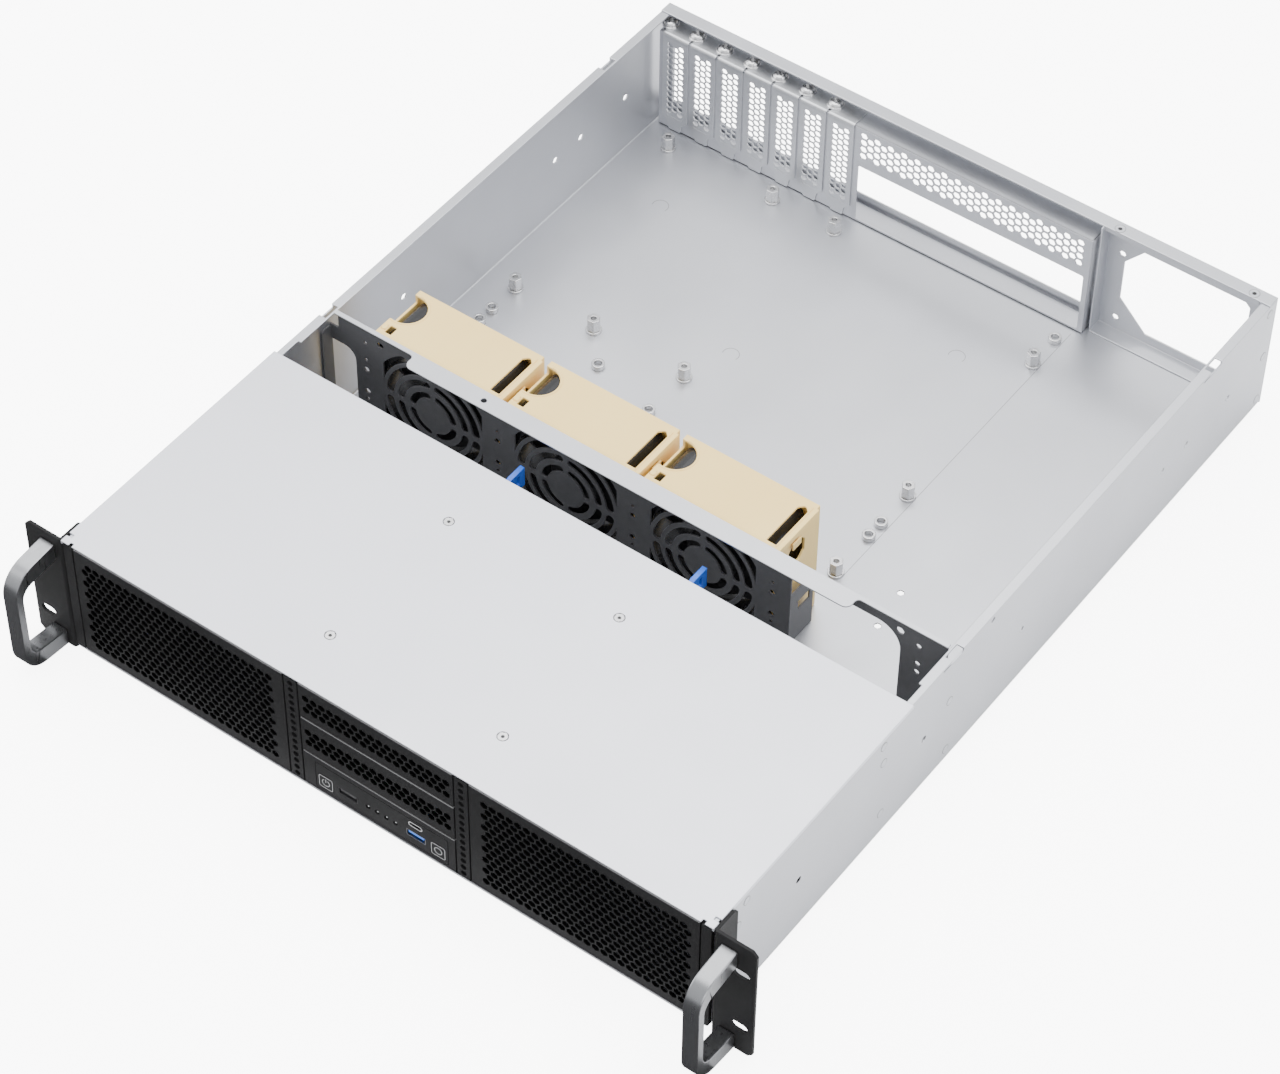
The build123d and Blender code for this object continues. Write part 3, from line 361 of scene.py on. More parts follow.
def baked(obj):
    """The object with its modifiers turned into a plain mesh."""
    bpy.context.view_layer.update()
    graph = bpy.context.evaluated_depsgraph_get()
    final = obj.evaluated_get(graph)
    result = bpy.data.meshes.new_from_object(final, preserve_all_data_layers=True, depsgraph=graph)
    obj.modifiers.clear()
    obj.data = result
    return obj


def flats_kept(obj):
    """Marks the border of a broad flat face as sharp, so that it shades as one plane up to its bevel."""
    work = bmesh.new()
    work.from_mesh(obj.data)
    for edge in work.edges:
        if len(edge.link_faces) == 2 and edge.calc_face_angle(0.0) > math.radians(FLAT_WITHIN):
            small, big = sorted(face.calc_area() for face in edge.link_faces)
            if big > FLAT_RATIO * small:
                edge.smooth = False
    work.to_mesh(obj.data)
    work.free()
    return obj


def rounded(obj, width, segments=2, angle=32.0):
    """Rounds the sharp edges of a finished mesh by width, in millimetres."""
    bevel = obj.modifiers.new("soft edges", "BEVEL")
    bevel.width = width / 1000.0
    bevel.segments = segments
    bevel.limit_method = "ANGLE"
    bevel.angle_limit = math.radians(angle)
    bevel.use_clamp_overlap = False
    baked(obj)
    obj.data.polygons.foreach_set("use_smooth", [True] * len(obj.data.polygons))
    obj.data.set_sharp_from_angle(angle=math.radians(SMOOTH_BELOW))
    return flats_kept(obj)


def in_place(obj, body, nodes=()):
    """Says which body the piece rides on and hides what it stands in for."""
    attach(obj, body)
    if nodes:
        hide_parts(*nodes)
    return obj


def merged_copy(node, material):
    """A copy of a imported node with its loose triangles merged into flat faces."""
    copy = linked(node + "_soft", frame["nodes"][node].data.copy())
    work = bmesh.new()
    work.from_mesh(copy.data)
    bmesh.ops.remove_doubles(work, verts=work.verts, dist=MERGE_DISTANCE)
    bmesh.ops.dissolve_limit(work, angle_limit=math.radians(ONE_PLANE), verts=work.verts, edges=work.edges)
    work.to_mesh(copy.data)
    work.free()
    for layer in [layer for layer in copy.data.attributes if layer.name in STALE_LAYERS]:
        copy.data.attributes.remove(layer)
    copy.data.materials.clear()
    copy.data.materials.append(material)
    return copy


def cut_away(obj, punch):
    """Takes the punch's volume out of a piece and uses the punch up."""
    cut = obj.modifiers.new("cut", "BOOLEAN")
    cut.object = punch
    cut.operation = "DIFFERENCE"
    cut.solver = "EXACT"
    baked(obj)
    bpy.data.objects.remove(punch)
    return obj


SLOT_OF = {row["node"]: row["material_slot"] for row in frame["record"]["subparts"]}
print("slots in the record:", len(set(SLOT_OF.values())))

# %% [markdown]
# Outlines. Most of this case was punched from flat sheet, so most of its finer pieces start here as closed
# outlines in millimetres, with their corners rounded as a punch or a mould rounds them. A band is the
# outline of a bent sheet seen edge on, which follows the bends with an even thickness.

# %% Outline helpers
def arc(x, z, radius, start, end, steps=8):
    """Points along an arc from one angle to another, in degrees."""
    turns = [math.radians(start + (end - start) * k / steps) for k in range(steps + 1)]
    return [(x + radius * math.cos(t), z + radius * math.sin(t)) for t in turns]


def circle(x, z, radius, sides=24):
    return arc(x, z, radius, 0, 360 - 360 / sides, sides - 1)


def corner_arc(here, before, after, radius, steps):
    """The points that round one corner, from the sides that meet there."""
    if radius < 0.01:
        return [tuple(here)]
    one, two = before.normalized(), after.normalized()
    half = one.angle(two) / 2
    reach = min(radius / math.tan(half), 0.49 * before.length, 0.49 * after.length)
    centre = here + (one + two).normalized() * (reach / math.cos(half))
    start, end = here + one * reach - centre, here + two * reach - centre
    first = math.atan2(start.y, start.x)
    sweep = (math.atan2(end.y, end.x) - first + math.pi) % math.tau - math.pi
    turns = [first + sweep * k / steps for k in range(steps + 1)]
    return [(centre.x + start.length * math.cos(t), centre.y + start.length * math.sin(t)) for t in turns]


def rounded_loop(corners, radius, steps=4):
    """A closed outline with rounded corners; radius is one number, or one for each corner."""
    count = len(corners)
    radii = radius if isinstance(radius, (list, tuple)) else [radius] * count
    points = []
    for k, corner in enumerate(corners):
        here = Vector(corner)
        before, after = Vector(corners[k - 1]) - here, Vector(corners[(k + 1) % count]) - here
        points += corner_arc(here, before, after, radii[k], steps)
    return points


def box_loop(x0, x1, z0, z1, radius=0.0, steps=4):
    return rounded_loop([(x0, z0), (x1, z0), (x1, z1), (x0, z1)], radius, steps)


def centred(x, z, across, up, radius=0.0, steps=4):
    """A box outline round its middle, by its half width and half height."""
    return box_loop(x - across, x + across, z - up, z + up, radius, steps)


def band(path, thickness, radius=1.2, steps=4):
    """The closed outline of a bent sheet seen edge on."""
    line = [Vector(path[0])]
    for k in range(1, len(path) - 1):
        here = Vector(path[k])
        bend = corner_arc(here, Vector(path[k - 1]) - here, Vector(path[k + 1]) - here, radius, steps)
        line += [Vector(point) for point in bend]
    line.append(Vector(path[-1]))
    left, right = [], []
    for k, here in enumerate(line):
        ahead = line[min(k + 1, len(line) - 1)] - line[max(k - 1, 0)]
        side = Vector((-ahead.y, ahead.x)).normalized() * thickness / 2
        left.append(tuple(here + side))
        right.append(tuple(here - side))
    return left + right[::-1]


# %% [markdown]
# The punch press. A turret press cuts a perforated panel by striking the same tool again and again on an
# even grid. The node tree below works the same way: it takes the panel's outlines, lays one or two grids
# of holes over them, fills what is left and gives it the sheet's thickness. A second tree sets the same
# small part, such as a screw or a rivet, on every point it is given, and a third turns copies round a hub.

# %% Node trees
def geometry_tree(name, sockets, takes=True):
    tree = bpy.data.node_groups.new(name, "GeometryNodeTree")
    tree.is_modifier = takes
    if takes:
        tree.interface.new_socket("Geometry", in_out="INPUT", socket_type="NodeSocketGeometry")
    for label, kind, value in sockets:
        socket = tree.interface.new_socket(label, in_out="INPUT", socket_type="NodeSocket" + kind)
        if value is not None:
            socket.default_value = value
    tree.interface.new_socket("Geometry", in_out="OUTPUT", socket_type="NodeSocketGeometry")
    return tree, add(tree, "NodeGroupInput").outputs, add(tree, "NodeGroupOutput").inputs


def hand_over(tree, geometry, given, result):
    """Makes copies real, gives the whole its finish and puts it out."""
    real = add(tree, "GeometryNodeRealizeInstances", {"Geometry": geometry}).outputs[0]
    done = add(tree, "GeometryNodeSetMaterial", {"Geometry": real, "Material": given["Finish"]}).outputs[0]
    tree.links.new(done, result["Geometry"])
    return tree


GRID = [
    ("Columns", "Int", 0), ("Rows", "Int", 0), ("Pitch Across", "Float", 5.0), ("Pitch Up", "Float", 5.0),
    ("Row Shift", "Float", 0.0), ("Start X", "Float", 0.0), ("Start Y", "Float", 0.0),
    ("Hole Radius", "Float", 1.0), ("Sides", "Int", 6), ("Turn", "Float", 0.0),
]


def make_hole_grid():
    tree, given, result = geometry_tree("hole grid", GRID, takes=False)
    index = add(tree, "GeometryNodeInputIndex").outputs[0]
    column = calculate(tree, "MODULO", index, given["Columns"])
    row = calculate(tree, "FLOOR", calculate(tree, "DIVIDE", index, given["Columns"]))
    shift = calculate(tree, "MULTIPLY", calculate(tree, "MODULO", row, 2.0), given["Row Shift"])
    along = calculate(tree, "MULTIPLY_ADD", column, given["Pitch Across"], given["Start X"])
    across = calculate(tree, "ADD", along, shift)
    up = calculate(tree, "MULTIPLY_ADD", row, given["Pitch Up"], given["Start Y"])
    place = add(tree, "ShaderNodeCombineXYZ", {"X": across, "Y": up}).outputs[0]
    count = calculate(tree, "MULTIPLY", given["Columns"], given["Rows"])
    points = add(tree, "GeometryNodePoints", {"Count": count, "Position": place}).outputs[0]
    ring = add(tree, "GeometryNodeMeshCircle", {"Vertices": given["Sides"], "Radius": given["Hole Radius"]})
    turn = add(tree, "ShaderNodeCombineXYZ", {"Z": given["Turn"]}).outputs[0]
    turned = add(tree, "GeometryNodeTransform", {"Geometry": ring.outputs[0], "Rotation": turn}).outputs[0]
    holes = add(tree, "GeometryNodeInstanceOnPoints", {"Points": points, "Instance": turned}).outputs[0]
    loops = add(tree, "GeometryNodeRealizeInstances", {"Geometry": holes}).outputs[0]
    tree.links.new(loops, result["Geometry"])
    return tree


def make_punched_sheet():
    grids = [(f"{letter} {label}", kind, value) for letter in "AB" for label, kind, value in GRID]
    sockets = [("Thickness", "Float", 1.0), ("Finish", "Material", None), *grids]
    tree, given, result = geometry_tree("punched sheet", sockets)
    together = add(tree, "GeometryNodeJoinGeometry")
    tree.links.new(given["Geometry"], together.inputs[0])
    for letter in "AB":
        grid = add(tree, "GeometryNodeGroup", node_tree=hole_grid)
        for label, _, _ in GRID:
            tree.links.new(given[f"{letter} {label}"], grid.inputs[label])
        tree.links.new(grid.outputs[0], together.inputs[0])
    curves = add(tree, "GeometryNodeMeshToCurve", {"Mesh": together.outputs[0]}).outputs[0]
    face = add(tree, "GeometryNodeFillCurve", {"Curve": curves}).outputs[0]
    extent = {"Mesh": face, "Offset Scale": given["Thickness"], "Individual": False}
    raised = add(tree, "GeometryNodeExtrudeMesh", extent)
    base = add(tree, "GeometryNodeFlipFaces", {"Mesh": face}).outputs[0]
    solid = add(tree, "GeometryNodeJoinGeometry")
    tree.links.new(raised.outputs["Mesh"], solid.inputs[0])
    tree.links.new(base, solid.inputs[0])
    closed = add(tree, "GeometryNodeMergeByDistance", {"Geometry": solid.outputs[0], "Distance": 0.001})
    return hand_over(tree, closed.outputs[0], given, result)


def make_scatter():
    sockets = [("Part", "Object", None), ("Spin", "Float", 0.0), ("Seed", "Int", 1),
               ("Finish", "Material", None)]
    tree, given, result = geometry_tree("same part on every point", sockets)
    part = add(tree, "GeometryNodeObjectInfo", {"Object": given["Part"]}).outputs["Geometry"]
    chance = add(tree, "FunctionNodeRandomValue", data_type="FLOAT")
    tree.links.new(given["Spin"], chance.inputs[3])
    tree.links.new(given["Seed"], chance.inputs["Seed"])
    turn = add(tree, "ShaderNodeCombineXYZ", {"Z": chance.outputs[1]}).outputs[0]
    settings = {"Points": given["Geometry"], "Instance": part, "Rotation": turn}
    placed = add(tree, "GeometryNodeInstanceOnPoints", settings)
    return hand_over(tree, placed.outputs[0], given, result)


def make_wheel():
    sockets = [("Part", "Object", None), ("Copies", "Int", 7), ("Finish", "Material", None)]
    tree, given, result = geometry_tree("copies round a hub", sockets)
    index = add(tree, "GeometryNodeInputIndex").outputs[0]
    step = calculate(tree, "DIVIDE", math.tau, given["Copies"])
    turn = add(tree, "ShaderNodeCombineXYZ", {"Z": calculate(tree, "MULTIPLY", index, step)}).outputs[0]
    points = add(tree, "GeometryNodePoints", {"Count": given["Copies"]}).outputs[0]
    part = add(tree, "GeometryNodeObjectInfo", {"Object": given["Part"]}).outputs["Geometry"]
    blades = add(tree, "GeometryNodeInstanceOnPoints", {"Points": points, "Instance": part, "Rotation": turn})
    whole = add(tree, "GeometryNodeJoinGeometry")
    tree.links.new(given["Geometry"], whole.inputs[0])
    tree.links.new(blades.outputs[0], whole.inputs[0])
    return hand_over(tree, whole.outputs[0], given, result)


hole_grid = make_hole_grid()
punched_sheet = make_punched_sheet()
scatter = make_scatter()
wheel = make_wheel()
print("node trees:", len([tree for tree in bpy.data.node_groups if tree.bl_idname == "GeometryNodeTree"]))

# %% [markdown]
# Bench tools. These turn an outline into a finished sheet at its place, set copies on points, join parts
# into one piece and tidy a mesh, so that each piece below is only its own measures.

# %% Bench tools
def grown(obj, tree, values):
    """Runs a node tree over an object, with its named inputs set by their identifiers."""
    step = obj.modifiers.new(tree.name, "NODES")
    step.node_group = tree
    for item in tree.interface.items_tree:
        if item.item_type == "SOCKET" and item.in_out == "INPUT" and item.name in values:
            step[item.identifier] = values[item.name]
    return baked(obj)


def new_object(name, points, edges=(), faces=()):
    mesh = bpy.data.meshes.new(name)
    mesh.from_pydata(points, edges, faces)
    return linked(name, mesh)


def tidied(obj):
    """Merges double points and turns every face outward."""
    work = bmesh.new()
    work.from_mesh(obj.data)
    bmesh.ops.remove_doubles(work, verts=work.verts, dist=MERGE_DISTANCE)
    bmesh.ops.recalc_face_normals(work, faces=work.faces)
    work.to_mesh(obj.data)
    work.free()
    return obj


def sheet(name, loops, thickness, place, material, a=None, b=None):
    """A flat piece from outlines and up to two grids of holes, stood at its place."""
    points, edges = [], []
    for loop in loops:
        first, count = len(points), len(loop)
        points += [(x, y, 0.0) for x, y in loop]
        edges += [(first + k, first + (k + 1) % count) for k in range(count)]
    values = {"Thickness": float(thickness), "Finish": material}
    for letter, grid in (("A", a), ("B", b)):
        values.update({f"{letter} {label}": value for label, value in (grid or {}).items()})
    obj = grown(new_object(name, points, edges), punched_sheet, values)
    obj.data.transform(place)
    return tidied(obj)


def holes(columns, rows, across, up, x, y, radius, sides=6, turn=0.0, shift=0.0):
    """The measures of one grid of holes, by the names of the node tree's inputs."""
    return {
        "Columns": columns, "Rows": rows, "Pitch Across": float(across), "Pitch Up": float(up),
        "Start X": float(x), "Start Y": float(y), "Hole Radius": float(radius), "Sides": sides,
        "Turn": float(turn), "Row Shift": float(shift),
    }


def lathe(name, profile, material, sides=32, place=None):
    """A turned part from (radius, height) points, closed on its axis; millimetres."""
    points, faces = [], []
    for radius, height in profile:
        points += [(x, y, height) for x, y in circle(0, 0, max(radius, 0.0001), sides)]
    for ring in range(len(profile) - 1):
        for k in range(sides):
            low, next_low = ring * sides + k, ring * sides + (k + 1) % sides
            faces.append((low, next_low, next_low + sides, low + sides))
    obj = new_object(name, points, faces=faces)
    obj.data.materials.append(material)
    obj.data.transform(place or TO_METRES)
    return tidied(obj)


def joined(name, parts):
    """One mesh from several, each part keeping its own materials."""
    work = bmesh.new()
    kept = []
    for part in parts:
        first = len(work.faces)
        work.from_mesh(part.data)
        work.faces.ensure_lookup_table()
        for face in work.faces[first:]:
            material = part.data.materials[face.material_index]
            if material not in kept:
                kept.append(material)
            face.material_index = kept.index(material)
        bpy.data.objects.remove(part)
    obj = new_object(name, [])
    work.to_mesh(obj.data)
    work.free()
    for material in kept:
        obj.data.materials.append(material)
    return obj


def on_points(name, part, spots, material, spin=0.0, seed=1):
    """The same small part at every spot, with the part itself used up."""
    values = {"Part": part, "Spin": float(spin), "Seed": seed, "Finish": material}
    obj = grown(new_object(name, spots), scatter, values)
    bpy.data.objects.remove(part)
    return obj


FINER = {}


def dressed(obj, node, width=0.12, segments=1, angle=32.0):
    """Rounds the piece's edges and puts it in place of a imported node."""
    if width:
        rounded(obj, width, segments, angle)
    FINER[node] = obj
    return in_place(obj, frame["nodes"][node]["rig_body"], [node])


def lit_edges(obj):
    """Paints a paler tint on the top-facing faces along a panel's upper edge, as a painted highlight."""
    obj.data.materials.append(edge_highlight_paint)
    top = max(corner.co.z for corner in obj.data.vertices)
    for face in obj.data.polygons:
        if face.normal.z > 0.6 and face.center.z > top - 0.0006:
            face.material_index = len(obj.data.materials) - 1
    return obj


def shade_hole_walls(obj, rim=0.0012):
    """Gives the walls of a front panel's holes a dull black, as painted shade that makes the holes read dark.
    """
    obj.data.materials.append(hole_shade_paint)
    across = [corner.co.x for corner in obj.data.vertices]
    up = [corner.co.z for corner in obj.data.vertices]
    x0, x1, z0, z1 = min(across) + rim, max(across) - rim, min(up) + rim, max(up) - rim
    for face in obj.data.polygons:
        inside = x0 < face.center.x < x1 and z0 < face.center.z < z1
        if inside and abs(face.normal.y) < 0.8:
            face.material_index = len(obj.data.materials) - 1
    return obj


print("bench tools are ready, the shared scale is", TO_METRES[0][0])

# %% [markdown]
# The front air grilles and bay covers. Each is a flat steel panel with a field of six-sided holes, punched
# and then powder coated black. The grilles have fifteen rows of twenty-four holes, in a close honeycomb,
# and each bay cover a band of three rows. The loops below only give the panel and the first hole.

# %% Grilles and bay covers
PANEL_BACK = 1.6
MESH_T = 1.6
POINT_UP = math.radians(30)
HONEYCOMB = {"across": 5.46, "up": -9.1, "radius": 2.42, "turn": POINT_UP}


def box_of(node):
    """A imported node's box as bench measures in millimetres: x0, x1, y0, y1, z0, z1."""
    low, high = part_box(node)
    low, high = low * 1000, high * 1000
    return low.x, high.x, low.y - FRONT_FACE_Y, high.y - FRONT_FACE_Y, low.z - EAR_DROP, high.z - EAR_DROP


for side, node in ((1, "grille_left"), (-1, "grille_right")):
    x0, x1, _, _, z0, z1 = box_of(node)
    outline = box_loop(x0, x1, z0, z1, 0.8)
    rows = [holes(24, 8, x=-196.9 if side > 0 else 71.3, y=73.7, **HONEYCOMB),
            holes(24, 7, x=-199.6 if side > 0 else 74.0, y=69.15, **HONEYCOMB)]
    grille = sheet(node + "_fine", [outline], MESH_T, standing(MESH_T), black_coat, *rows)
    shade_hole_walls(lit_edges(dressed(grille, node, 0.15)))

for node, top_row, low_row in (("bay_cover_upper", 73.7, 64.5), ("bay_cover_lower", 46.0, 37.4)):
    x0, x1, _, _, z0, z1 = box_of(node)
    outline = box_loop(x0, x1, z0, z1, 0.6)
    across = {"across": 5.48, "radius": 2.38, "turn": POINT_UP}
    rows = [holes(18, 2, x=-46.4, y=top_row, up=low_row - top_row, **across),
            holes(17, 1, x=-43.66, y=(top_row + low_row) / 2, up=1.0, **across)]
    dressed(sheet(node + "_fine", [outline], MESH_T, standing(MESH_T), black_coat, *rows), node, 0.15)
    shade_hole_walls(lit_edges(FINER[node]))
print("holes in each grille:", 24 * 15, "and in each bay cover:", 18 * 3 - 1)

# %% [markdown]
# The front frame. One black pressing holds the three panels: a post at each end, and two narrow strips
# between the panels with a row of fifteen small round holes, through which the bay's inner air escapes.

# %% Front frame
FRAME_BACK = 2.8
STRIP_X = 56.3
STRIP_HALF = 4.3
STRIP_HOLES = 15
LEDGE = 2.4


def front_frame():
    x0, x1, _, _, z0, z1 = box_of("front_frame")
    z1 = box_of("grille_left")[5]
    low = box_of("grille_left")[4] + LEDGE
    windows = []
    for node in ("grille_left", "bay_cover_upper", "grille_right"):
        a, b = box_of(node)[:2]
        windows.append(box_loop(a + LEDGE, b - LEDGE, low, z1 - LEDGE, 1.0))
    strip_row = {"across": 2 * STRIP_X, "up": -5.29, "y": 79.2, "radius": 1.85, "sides": 20}
    loops = [box_loop(x0, x1, z0, z1), *windows]
    both = holes(2, STRIP_HOLES, x=-STRIP_X, **strip_row)
    plate = sheet("plate", loops, FRAME_BACK - PANEL_BACK, standing(FRAME_BACK), black_coat, both)
    strips = []
    for side in (-1, 1):
        outline = box_loop(side * STRIP_X - STRIP_HALF, side * STRIP_X + STRIP_HALF, z0, z1, 0.5)
        row = holes(1, STRIP_HOLES, x=side * STRIP_X, **strip_row)
        strips.append(sheet("strip", [outline], PANEL_BACK, standing(PANEL_BACK), black_coat, row))
        inner = box_of("grille_right")[1] + 0.9
        post = box_loop(*sorted((side * inner, side * x1)), z0, z1, 0.5)
        strips.append(sheet("post", [post], PANEL_BACK, standing(PANEL_BACK), black_coat))
    flange = box_loop(-205.7, 205.7, PANEL_BACK, 9.0, 0.8)
    top = sheet("top_flange", [flange], 1.2, lying(82.8), black_coat)
    lip = sheet("lip", [box_loop(-206.0, 206.0, z0 - 0.2, z0 + 0.9, 0.2)], 0.7, standing(0.0), zinc_sheet)
    return joined("front_frame_fine", [plate, *strips, top, lip])


dressed(front_frame(), "front_frame", 0.15)
print("front frame strips have", STRIP_HOLES, "holes each")

# %% [markdown]
# The control strip. Below the bays a plain panel carries a square power button and a reset button, a wide
# socket on the left and one with a blue tongue on the right, a small oval socket and four light pipes. A
# shallow line is pressed round the whole group. The button marks are printed in pale grey: a ring, and
# the usual broken ring with a bar for power.

# %% Control strip
BUTTON_Z = 11.0
BUTTONS = {"power_button": -36.4, "reset_button": 39.5}
LIGHTS = (-7.7, -1.5, 4.6, 10.8)
LIGHT_Z = 12.5
USB_X, USB3_X, USB_Z = -21.3, 24.6, 11.8
OVAL_Z = 20.4
SKIN = 0.6
RING_OUTER, RING_INNER, RING_GAP = 2.6, 2.32, 28
printed_grey = finish("printed_grey", (0.55, 0.55, 0.56), (0.62, 0.62, 0.63), (0.5, 0.6),
                      bump=0.05, size=60)


def mark(outlines, y):
    """A printed mark, a few hundredths of a millimetre proud of the face at y."""
    return sheet("mark", outlines, 0.05, standing(y), printed_grey)


def oval_loops(*halves):
    """Outlines with round ends about the small oval socket's middle."""
    return [centred(USB3_X, OVAL_Z, half, rise, rise - 0.05) for half, rise in halves]


def control_panel():
    x0, x1, _, _, z0, z1 = box_of("control_panel")
    cuts = [centred(x, BUTTON_Z, 4.95, 4.95, 0.9) for x in BUTTONS.values()]
    cuts += [centred(x, USB_Z, 6.55, 2.6, 0.5) for x in (USB_X, USB3_X)]
    cuts.append(centred(USB3_X, OVAL_Z, 4.2, 1.3, 1.2))
    lights = holes(4, 1, 6.17, 1.0, LIGHTS[0], LIGHT_Z, 1.5, sides=20)
    groove = [box_loop(-43.2, 46.4, 3.8, 24.6, 1.2), box_loop(-42.85, 46.05, 4.15, 24.25, 1.0)]
    outline = box_loop(x0, x1, z0, z1, 0.6)
    face, back = PANEL_BACK - SKIN, PANEL_BACK
    plates = [sheet("plate", [outline, *groove, *cuts], face, standing(face), black_coat, lights),
              sheet("back", [outline, *cuts], SKIN, standing(back), black_coat, lights)]
    plate = lit_edges(rounded(joined("plate", plates), 0.12, 1))
    return joined("control_panel_fine", [plate, mark(oval_loops((4.6, 1.7), (4.2, 1.3)), 0.0)])


def push_button(node, x):
    cap = sheet("cap", [centred(x, BUTTON_Z, 4.65, 4.65, 0.8)], 5.0, standing(5.0), black_coat)
    rounded(cap, 0.12, 1)
    rim = [centred(x, BUTTON_Z, half, half, half - 3.4) for half in (4.65, 4.4)]
    stem = sheet("stem", [centred(x, BUTTON_Z, 1.5, 1.5)], 3.0, standing(8.0), black_skin)
    if node == "power_button":
        start, end = 90 + RING_GAP, 450 - RING_GAP
        ring = arc(x, BUTTON_Z, RING_OUTER, start, end, 24) + arc(x, BUTTON_Z, RING_INNER, end, start, 24)
        signs = [ring, box_loop(x - 0.16, x + 0.16, BUTTON_Z + 0.4, BUTTON_Z + 3.0, 0.1)]
    else:
        signs = [circle(x, BUTTON_Z, radius) for radius in (RING_OUTER, RING_INNER)]
    return joined(node + "_fine", [cap, stem, mark(rim, 0.0), mark(signs, 0.0)])


def wide_socket(node, x, tongue_finish, shell_finish):
    outer, inner = centred(x, USB_Z, 6.5, 2.55, 0.5), centred(x, USB_Z, 6.1, 2.15, 0.3)
    parts = [sheet("shell", [outer, inner], 10.9, standing(11.0), shell_finish),
             sheet("back", [inner], 1.0, standing(11.0), black_skin)]
    tongue = box_loop(x - 5.2, x + 5.2, USB_Z - 0.1, USB_Z + 1.7, 0.2)
    parts.append(sheet("tongue", [tongue], 9.9, standing(10.4), tongue_finish))
    for step in (-3.6, -1.2, 1.2, 3.6):
        pin = box_loop(x + step - 0.55, x + step + 0.55, USB_Z - 0.25, USB_Z - 0.1)
        parts.append(sheet("pin", [pin], 6.5, standing(9.0), port_metal))
    return joined(node + "_fine", parts)


def oval_socket():
    loops = oval_loops((4.15, 1.25), (3.75, 0.9))
    shell = sheet("shell", loops, 10.9, standing(11.0), port_metal)
    back = sheet("back", [loops[1]], 1.0, standing(11.0), black_skin)
    tongue = box_loop(USB3_X - 3.0, USB3_X + 3.0, 20.1, 20.7, 0.2)
    return joined("oval_port_fine", [shell, back, sheet("tongue", [tongue], 8.5, standing(10.4), black_skin)])


dressed(control_panel(), "control_panel", 0)
for node, x in BUTTONS.items():
    dressed(push_button(node, x), node, 0)
dressed(wide_socket("usb_port", USB_X, black_skin, black_skin), "usb_port", 0.05)
dressed(wide_socket("usb3_port", USB3_X, port_blue, port_metal), "usb3_port", 0.05)
dressed(oval_socket(), "oval_port", 0.05)

lens = lathe("lens", [(0, -8.7), (0.6, -8.7), (0.6, -0.7), (0.4, -0.3), (0, -0.2)], clear_pipe, 20,
             Matrix.Rotation(QUARTER, 4, "X") @ TO_METRES)
lenses = on_points("led_lenses_fine", lens, [spot(x, 0.3, LIGHT_Z) for x in LIGHTS], clear_pipe)
dressed(lenses, "led_lenses", 0)
print("control strip pieces:", sorted(FINER)[:9])

# %% [markdown]
# The handles. Each is a flat bar of aluminium machined to a D and satin finished, 10 mm wide, with arms
# that taper from the ear to the grip. Its outline is drawn from the side, and the long edges are rounded.

# %% Handles
HANDLE_X = 225.2
HANDLE_MID = 37.4


def handle(node, side):
    half, taper, reach, grip, foot = 40.8, 3.3, 33.0, 27.4, 11.6
    inner = half - foot
    low, high = HANDLE_MID - half, HANDLE_MID + half
    outer = [(0, low), (-reach, low + taper), (-reach, high - taper), (0, high)]
    low, high = HANDLE_MID - inner, HANDLE_MID + inner
    gap = [(0, high), (-grip, high - taper), (-grip, low + taper), (0, low)]
    outline = rounded_loop(outer + gap, [0, 17, 17, 0, 0, 8, 8, 0], 10)
    x0 = side * HANDLE_X - 5.0
    return sheet(node + "_fine", [outline], 10.0, on_edge(x0), satin_bar)


for node, side in (("handle_right", 1), ("handle_left", -1)):
    dressed(handle(node, side), node, 0.7, 2, 40)
print("handle box:", [round(v, 1) for v in box_of("handle_right")])

# %% [markdown]
# The fan wall. A dark sheet stands across the case behind the covered front. It is cut away at its left
# for cables and has a tall opening at its right. Each fan sits behind a guard that is punched from the
# wall itself: three rings of rounded slots between four spokes, and an opening in each corner.

# %% Fan wall
WALL_FACE = 223.0
WALL_T = 1.2
FAN_X = (-139.2, -45.4, 48.4)
FAN_Z = 41.4
SPOKE_HALF = 1.5
GUARD_SLOTS = ((12.7, 17.0), (20.9, 25.5), (28.5, 33.8))


def guard_loops(x):
    """The openings of one guard: twelve rounded slots and four corners."""
    loops = []
    half, rim, reach = 35.3, 36.4, 41.5
    for quarter in (0, 90, 180, 270):
        for inner, outer in GUARD_SLOTS:
            mid, end = (inner + outer) / 2, (outer - inner) / 2
            lean = math.degrees(math.asin((SPOKE_HALF + end) / mid))
            a, b = quarter + lean, quarter + 90 - lean
            ends = [math.radians(t) for t in (a, b)]
            caps = [(x + mid * math.cos(t), FAN_Z + mid * math.sin(t)) for t in ends]
            loops.append(arc(x, FAN_Z, outer, a, b, 12) + arc(*caps[1], end, b, b + 180, 6)[1:-1]
                         + arc(x, FAN_Z, inner, b, a, 12) + arc(*caps[0], end, a + 180, a + 360, 6)[1:-1])
        low, high = (math.degrees(math.acos(half / r)) for r in (rim, reach))
        loops.append(arc(x, FAN_Z, reach, quarter + high, quarter + 90 - high, 4)
                     + arc(x, FAN_Z, rim, quarter + 90 - low, quarter + low, 12))
    return loops


